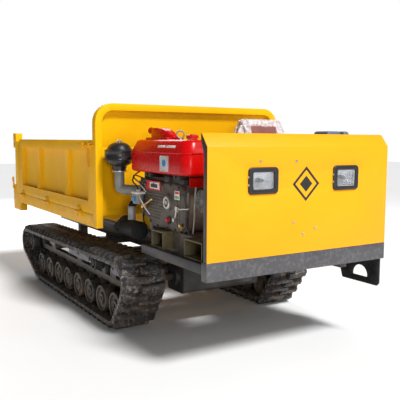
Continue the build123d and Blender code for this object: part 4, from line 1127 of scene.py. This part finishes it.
for i in range(GUARD_SPOKES):
    spread = Vector((0, cos(tau * i / GUARD_SPOKES), sin(tau * i / GUARD_SPOKES)))
    guard.append(rod("spoke", at(-0.602, 0.300, 1.049) + spread * 0.014,
                     at(-0.602, 0.300, 1.049) + spread * 0.068,
                     0.0026, sides=8))
guard.append(turned("hub", at(-0.596, 0.300, 1.049), (-1, 0, 0), [
    (0.0, 0.012), (0.013, 0.011), (0.018, 0.006), (0.018, -0.010), (0.066, -0.014), (0.066, -0.020),
    (0.0, -0.020)], 40))
smoothed(guard)
fitted(joined("fan_guard", guard), grey_paint, "chassis", "cast_engine")
HEAD_FACE = head_low.x
injector = [turned("body", at(HEAD_FACE, 1.128, 1.106), (-1, 0, 0.3), [
    (0.0, 0.060), (0.008, 0.060), (0.010, 0.056), (0.010, 0.040), (0.015, 0.038), (0.015, 0.018),
    (0.020, 0.016), (0.020, -0.01)], 28)]
for y, z in ((1.104, 0.900), (1.104, 1.000), (1.176, 0.900), (1.176, 1.000)):
    injector.append(bolt("head_nut", at(HEAD_FACE - 0.001, y, z), (-1, 0, 0), 0.011))
fitted(joined("injector_and_nuts", injector), zinc, "chassis", "zinc_steel")
RUNS = {
    "return_pipe": (black_plastic, 0.0055,
                    ((-0.585, 1.145, 1.216), (-0.650, 1.165, 1.190), (-0.712, 1.110, 1.130),
                                            (-0.705, 1.030, 1.105), (-0.700, 1.022, 1.070))),
    "feed_pipe": (white_paint, 0.0042,
                  ((-0.700, 0.985, 1.050), (-0.728, 0.950, 1.030), (-0.712, 0.925, 0.985),
                                        (-0.690, 0.915, 0.940), (-0.665, 0.905, 0.905))),
    "injector_pipe": (zinc, 0.0035, ((-0.662, 0.970, 1.060), (-0.705, 0.985, 1.120), (-0.700, 1.060, 1.150),
                                     (-0.665, 1.110, 1.135), (-0.638, 1.128, 1.122))),
    "wiring_upper": (black_plastic, 0.0065,
                     ((-0.640, 0.395, 1.140), (-0.668, 0.410, 1.060), (-0.640, 0.400, 0.960),
                                             (-0.655, 0.415, 0.880), (-0.630, 0.400, 0.822))),
    "wiring_lower": (black_plastic, 0.0060,
                     ((-0.630, 1.060, 0.940), (-0.655, 1.045, 0.870), (-0.640, 1.020, 0.800),
                                             (-0.600, 0.990, 0.740), (-0.560, 0.960, 0.700))),
    "cable_loop": (black_plastic, 0.0045,
                   ((-0.640, 1.035, 1.150), (-0.700, 1.085, 1.185), (-0.690, 1.130, 1.160),
                                           (-0.640, 1.120, 1.110), (-0.590, 1.100, 1.080))),
    "drain_pipe": (zinc, 0.0060, ((-0.580, 0.410, 1.130), (-0.590, 0.408, 1.020), (-0.590, 0.408, 0.940),
                                  (-0.595, 0.410, 0.850), (-0.600, 0.410, 0.822))),
}
for name, (material, radius, points) in RUNS.items():
    run = pipe(name, [at(*point) for point in points], radius, 3, 4)
    fitted(run, material, "chassis", "black_plastic")

# %% [markdown]
# Each track frame carries flat bracket plates on its outside, with a hole for a
# lifting hook in the long one.

# %% Track frame brackets
BRACKET_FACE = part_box("track_frame_left")[1].x
BRACKETS = ((1.960, 2.470, 0.370, 0.470, True), (1.300, 1.470, 0.372, 0.452, False),
            (2.900, 3.060, 0.372, 0.452, False))
for side, word in ((1, "left"), (-1, "right")):
    plates = []
    for y0, y1, z0, z1, holed in BRACKETS:
        face = side * BRACKET_FACE
        plate_x = sorted((face, face + side * 0.008))
        plate = block("bracket", at(plate_x[0], y0, z0), at(plate_x[1], y1, z1))
        if holed:
            middle_y, middle_z = (y0 + y1) / 2, (z0 + z1) / 2
            cutter = rod("cutter", at(face - 0.05, middle_y, middle_z), at(face + 0.05, middle_y, middle_z),
                         0.024)
            modify(plate, "BOOLEAN", operation="DIFFERENCE", solver="EXACT", object=cutter)
            bpy.data.objects.remove(cutter)
        plates.append(soften(plate, 0.0018, 2))
        for y in (y0 + 0.035, y1 - 0.035):
            plates.append(bolt("bracket_bolt", at(face + side * 0.008, y, (z0 + z1) / 2), (side, 0, 0),
                               0.011))
    fitted(joined("track_brackets_" + word, plates), bracket_paint, "chassis", "dark_paint")

# %% [markdown]
# The headlights. Behind a ribbed glass is a bright pressed reflector with a bulb
# under a small hood. The reflector starts as a block whose front face is inset
# and pushed in again and again, which makes a bowl with square corners.

# %% Headlights
LAMP_Z, LAMP_REACH, LAMP_RISE = 1.190, 0.081, 0.054
reflector_paint = finish("reflector", (0.86, 0.86, 0.88), (0.80, 0.80, 0.83), 14, (0.10, 0.22), 0.25, 60,
                         metallic=0.85)
glass = bpy.data.materials.new("lamp_glass")
glass.use_nodes = True
glass_shader = glass.node_tree.nodes["Principled BSDF"]
glass_shader.inputs["Base Color"].default_value = (0.93, 0.95, 0.97, 1)
glass_shader.inputs["Transmission Weight"].default_value = 0.92
glass_shader.inputs["Roughness"].default_value = 0.04
glass_shader.inputs["IOR"].default_value = 1.45
reflectors, glasses, hoods, notches = [], [], [], []
for x in (-0.346, 0.346):
    bowl = block("bowl", at(x - LAMP_REACH, 0.004, LAMP_Z - LAMP_RISE),
                 at(x + LAMP_REACH, 0.058, LAMP_Z + LAMP_RISE))
    step(bowl, facing((0, -1, 0)), (0.003, 0), (0.003, -0.014), (0.010, -0.012), (0.012, -0.008),
         (0.010, -0.004))
    reflectors.append(soften(bowl, 0.0025, 3, 20))
    bpy.ops.mesh.primitive_grid_add(x_subdivisions=84, y_subdivisions=6, size=1)
    pane = bpy.context.object
    for vertex in pane.data.vertices:
        across, up = vertex.co.x * 2 * (LAMP_REACH - 0.001), vertex.co.y * 2 * (LAMP_RISE - 0.001)
        rib = 0.0011 * abs(sin(across * 290))
        vertex.co = at(x + across, 0.0005 - rib - 0.003 * (1 - (up / LAMP_RISE) ** 2), LAMP_Z + up)
    pane.matrix_world = Matrix.Identity(4)
    settle(pane, "pane")
    modify(pane, "SOLIDIFY", thickness=0.002)
    bpy.ops.object.shade_smooth_by_angle(angle=radians(50))
    glasses.append(pane)
    hoods.append(ball("hood", at(x + 0.006, 0.030, LAMP_Z - 0.001), 0.017, (1.35, 0.7, 0.62)))
    hoods.append(rod("holder", at(x + 0.006, 0.024, LAMP_Z - 0.001), at(x + 0.006, 0.044, LAMP_Z - 0.001),
                     0.012))
    for side in (-1, 1):
        for z in (1.166, 1.214):
            clip = block("clip", at(x + side * 0.1135 - 0.004, -0.0095, z - 0.006),
                         at(x + side * 0.1135 + 0.004, -0.001, z + 0.006))
            notches.append(soften(clip, 0.0015, 2))
fitted(joined("headlight_reflectors", reflectors), reflector_paint, "chassis", "lamp_glass",
       "headlight_lenses")
fitted(joined("headlight_glass", glasses), glass, "chassis", "lamp_glass")
smoothed(hoods)
fitted(joined("headlight_hoods", hoods), dark_casting, "chassis", "black_plastic")
fitted(joined("headlight_clips", notches), plate_metal, "chassis", "zinc_steel")

# %% [markdown]
# The seat is two foam pads in vinyl. Each starts as a slightly small block that
# is remeshed and blown up as cloth, which crowns it and pulls its sides in
# between the corners. Welts are laid along the seams afterwards. A sheet of
# clear wrapping film is then dropped over the back, because it still has one.

# %% Seat pads
seat_vinyl = finish("seat_vinyl", (0.30, 0.115, 0.095), (0.25, 0.09, 0.075), 7, (0.38, 0.5), 0.3, 420)


def pad(name, low, high, corner, cap):
    """A foam pad, blown up as cloth from a smaller block; cap limits how far a point moves."""
    shape = block(name, low, high)
    modify(shape, "BEVEL", width=corner, segments=4, limit_method="ANGLE", angle_limit=radians(40))
    modify(shape, "REMESH", mode="VOXEL", voxel_size=0.007)
    before = [vertex.co.copy() for vertex in shape.data.vertices]
    cloth = shape.modifiers.new("cloth", "CLOTH")
    cloth.settings.use_pressure = True
    cloth.settings.uniform_pressure_force = 4.0
    cloth.settings.effector_weights.gravity = 0.0
    for frame_number in range(1, 15):
        bpy.context.scene.frame_set(frame_number)
    activate(shape)
    bpy.ops.object.modifier_apply(modifier=cloth.name)
    bpy.context.scene.frame_set(1)
    for vertex, old in zip(shape.data.vertices, before):
        moved = vertex.co - old
        if moved.length > cap:
            vertex.co = old + moved.normalized() * cap
    return shape


def piping(name, low, high, corner, level, axis):
    """A closed welt round a pad at a level along axis, with rounded corners."""
    u, v = [i for i in range(3) if i != axis]
    points = []
    for su, sv in ((-1, -1), (1, -1), (1, 1), (-1, 1)):
        for k in range(5):
            turn = pi / 2 * k / 4
            base_angle = {(-1, -1): pi, (1, -1): 1.5 * pi, (1, 1): 0, (-1, 1): 0.5 * pi}[(su, sv)]
            place = [0, 0, 0]
            place[axis] = level
            place[u] = (high[u] - corner if su > 0 else low[u] + corner) + corner * cos(base_angle + turn)
            place[v] = (high[v] - corner if sv > 0 else low[v] + corner) + corner * sin(base_angle + turn)
            points.append(place)
    points.append(points[0])
    return pipe(name, points, 0.0042, 3, 3)


base_low, base_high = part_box("seat_cushion")
back_low, back_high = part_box("seat_back")
SLACK = Vector((0.007, 0.007, 0.007))
cushion = pad("seat_cushion_pad", base_low + SLACK, base_high - SLACK, 0.030, 0.012)
modify(cushion, "SUBSURF", levels=1, render_levels=1)
bpy.ops.object.shade_smooth()
fitted(cushion, seat_vinyl, "chassis", "seat_vinyl", "seat_cushion")
backrest = pad("seat_back_pad", back_low + SLACK, back_high - SLACK, 0.030, 0.012)
modify(backrest, "SUBSURF", levels=1, render_levels=1)
bpy.ops.object.shade_smooth()
fitted(backrest, seat_vinyl, "chassis", "seat_vinyl", "seat_back")
welts = [piping("welt", base_low + SLACK, base_high - SLACK, 0.034, base_high.z - 0.028, 2),
         piping("welt", back_low + SLACK, back_high - SLACK, 0.034, back_low.y + 0.026, 1)]
fitted(joined("seat_welts", welts), seat_vinyl, "chassis", "seat_vinyl")
print("seat pads", len(cushion.data.polygons), len(backrest.data.polygons))

# %% [markdown]
# The film is a thin sheet that falls over the back as cloth, from just above it.
# It is clear where it is smooth and whiter along its creases.

# %% Film over the seat back
film_paint = bpy.data.materials.new("film")
film_paint.use_nodes = True
film_tree = film_paint.node_tree
film_shader = film_tree.nodes["Principled BSDF"]
film_coords = film_tree.nodes.new("ShaderNodeTexCoord").outputs["Object"]
creases = noise_node(film_tree, film_coords, 26, 5, 0.62)
link(film_tree, mixed(film_tree, ramp(film_tree, creases, 0.38, 0.62), (0.86, 0.70, 0.70),
                      (0.93, 0.88, 0.90)),
     film_shader.inputs["Base Color"])
link(film_tree, ramp(film_tree, creases, 0.40, 0.60, 0.48, 0.92), film_shader.inputs["Alpha"])
film_shader.inputs["Roughness"].default_value = 0.16
film_bump = film_tree.nodes.new("ShaderNodeBump")
film_bump.inputs["Strength"].default_value = 0.9
film_bump.inputs["Distance"].default_value = 0.010
link(film_tree, creases, film_bump.inputs["Height"])
link(film_tree, film_bump.outputs["Normal"], film_shader.inputs["Normal"])

FILM_WIDTH, FILM_LENGTH = 0.66, 0.84
bpy.ops.mesh.primitive_grid_add(x_subdivisions=66, y_subdivisions=84, size=1)
film = bpy.context.object
film_middle = Vector(((back_low.x + back_high.x) / 2, (back_low.y + back_high.y) / 2, back_high.z + 0.012))
for vertex in film.data.vertices:
    flat_x, flat_y = vertex.co.x * FILM_WIDTH, vertex.co.y * FILM_LENGTH
    lift = 0.004 * noise.noise(Vector((flat_x * 14, flat_y * 14, 3.0)))
    vertex.co = film_middle + Vector((flat_x, flat_y, lift))
settle(film, "seat_film")
drop = film.modifiers.new("cloth", "CLOTH")
drop.settings.quality = 6
drop.settings.mass = 0.12
drop.settings.tension_stiffness = drop.settings.compression_stiffness = 12
drop.settings.bending_stiffness = 0.25
drop.collision_settings.distance_min = 0.004
drop.collision_settings.use_self_collision = True
drop.collision_settings.self_distance_min = 0.004
post = block("film_post", (back_low.x, back_low.y + 0.010, back_low.z - 0.30),
             (back_high.x, back_high.y - 0.010, back_high.z))
modify(post, "BEVEL", width=0.026, segments=5, limit_method="ANGLE", angle_limit=radians(40))
post.modifiers.new("stop", "COLLISION")
post.collision.thickness_outer = 0.006
frames = 46
for frame_number in range(1, frames):
    bpy.context.scene.frame_set(frame_number)
activate(film)
bpy.ops.object.modifier_apply(modifier=drop.name)
bpy.context.scene.frame_set(1)
bpy.data.objects.remove(post)
activate(film)
bpy.ops.object.shade_smooth()
fitted(film, film_paint, "chassis", "seat_vinyl")
print("film faces", len(film.data.polygons))

# %% [markdown]
# The instrument box is two moulded pods with a gap between them, on a stalk
# that comes up behind the panel. Three plain round gauges, a key switch and a
# row of rocker switches face the seat.

# %% Console
console_low, console_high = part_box("control_console")
TOP, POD_FOOT = console_high.z, console_high.z - 0.115
GAP = (0.432, 0.450)
pods = []
for x0, x1 in ((console_low.x, GAP[0]), (GAP[1], console_high.x)):
    pod = block("pod", at(x0, 0.132, POD_FOOT), at(x1, 0.280, TOP))
    modify(pod, "BEVEL", width=0.020, segments=5, limit_method="ANGLE", angle_limit=radians(40))
    bpy.ops.object.shade_smooth_by_angle(angle=radians(40))
    pods.append(pod)
pods.append(soften(block("yoke", at(console_low.x + 0.012, 0.150, POD_FOOT - 0.004),
                         at(console_high.x - 0.012, 0.262, POD_FOOT + 0.070)), 0.006, 3))
fitted(joined("console_pods", pods), console_plastic, "chassis", "console_plastic", "control_console")
stalk = soften(block("console_stalk", at(0.352, 0.182, 0.706), at(0.458, 0.248, POD_FOOT)), 0.006, 3)
foot_plate = soften(block("console_foot", at(0.335, 0.165, 0.706), at(0.475, 0.265, 0.712)), 0.0015, 2)
stalk_parts = [stalk, foot_plate]
for x in (0.343, 0.467):
    for y in (0.175, 0.255):
        stalk_parts.append(bolt("foot_bolt", at(x, y, 0.712), (0, 0, 1), 0.0055))
fitted(joined("console_stalk", stalk_parts), dark_enamel, "chassis", "dark_paint")
bezels, dials, needles = [], [], []
for x, z, r in ((0.336, 1.446, 0.024), (0.396, 1.446, 0.024), (0.481, 1.446, 0.022)):
    bezels.append(turned("bezel", at(x, 0.278, z), (0, 1, 0), [
        (r, 0.0), (r + 0.004, 0.0), (r + 0.004, 0.005), (r + 0.002, 0.007), (r, 0.006), (r - 0.001, 0.0)],
        36))
    dials.append(turned("dial", at(x, 0.278, z), (0, 1, 0),
                        [(0.0, 0.0030), (r, 0.0030), (r, 0.0), (0.0, 0.0)], 36))
    for k in range(9):
        angle = radians(-30 + 30 * k)
        inner, outer = r * 0.74, r * 0.90
        needles.append(rod("tick", at(x + cos(angle) * inner, 0.2814, z + sin(angle) * inner),
                           at(x + cos(angle) * outer, 0.2814, z + sin(angle) * outer), 0.0006, sides=6))
    needles.append(rod("needle", at(x, 0.2822, z), at(x - r * 0.45, 0.2822, z + r * 0.50), 0.0012, 0.0005,
                       8))
fitted(joined("gauge_bezels", bezels), chrome, "chassis", "zinc_steel")
fitted(joined("gauge_dials", dials), black_plastic, "chassis", "black_plastic")
fitted(joined("gauge_needles", needles), white_paint, "chassis", "zinc_steel")
switches = []
for x in (0.322, 0.348, 0.374, 0.400):
    rocker = block("rocker", at(x - 0.008, 0.272, 1.399), at(x + 0.008, 0.285, 1.413))
    switches.append(soften(rocker, 0.002, 2))
fitted(joined("rocker_switches", switches), black_plastic, "chassis", "black_plastic")
key = [turned("barrel", at(0.481, 0.275, 1.404), (0, 1, 0),
              [(0.0, 0.010), (0.009, 0.010), (0.011, 0.008), (0.012, 0.0), (0.0, 0.0)], 28),
       soften(block("bow", at(0.479, 0.284, 1.396), at(0.483, 0.306, 1.412)), 0.001, 1)]
fitted(joined("key_switch", key), plate_metal, "chassis", "zinc_steel")

# %% [markdown]
# The hand levers: a bent steel stem with a moulded knob that is turned from a
# profile, and a rubber gaiter of three rolls round its foot. The gaiter sits on
# the pivot boss and moves with the stem.

# %% Levers
LEVER_PIVOT_Z = 0.762
LEVER_TOPS = {
    "steering_lever_right": (0.420, 0.330, 0.012, 0.300, 1.350),
    "steering_lever_left": (0.520, 0.330, 0.012, 0.300, 1.350),
    "gear_lever": (0.230, 0.470, 0.012, 0.500, 1.180),
    "tip_lever": (0.150, 0.470, 0.012, 0.500, 1.150)}
for node, (x, foot_y, half, top_y, top_z) in LEVER_TOPS.items():
    pivot, head = at(x, foot_y, LEVER_PIVOT_Z), at(x, top_y, top_z)
    along = (head - pivot).normalized()
    stem = [rod("boss", pivot - Vector((half - 0.0005, 0, 0)), pivot + Vector((half - 0.0005, 0, 0)),
                0.0165),
            rod("pin", pivot - Vector((half + 0.0085, 0, 0)), pivot + Vector((half + 0.0085, 0, 0)),
                0.0059),
            rod("stem", pivot, head - along * 0.016, 0.0078, 0.0066)]
    for part in stem:
        soften(part, 0.001, 2)
    fitted(joined(node + "_stem", stem), zinc, node, "zinc_steel", node)
    knob = turned(node + "_knob", head, along, [
        (0.0, 0.022), (0.009, 0.0205), (0.016, 0.016), (0.0205, 0.008), (0.0215, 0.0), (0.020, -0.009),
        (0.015, -0.018),
        (0.011, -0.026), (0.0095, -0.034), (0.0, -0.034)], 36)
    fitted(knob, black_plastic, node, "black_plastic")
    rolls = [(0.0085, 0.072)]
    for k in range(4):
        foot = 0.066 - 0.012 * k
        rolls += [(0.0115 + 0.0012 * k, foot), (0.0135 + 0.0014 * k, foot - 0.005),
                  (0.0110 + 0.0012 * k, foot - 0.010)]
    gaiter = turned(node + "_gaiter", pivot, along, [*rolls, (0.0, 0.016)], 32)
    fitted(gaiter, belt_rubber, node, "black_rubber")
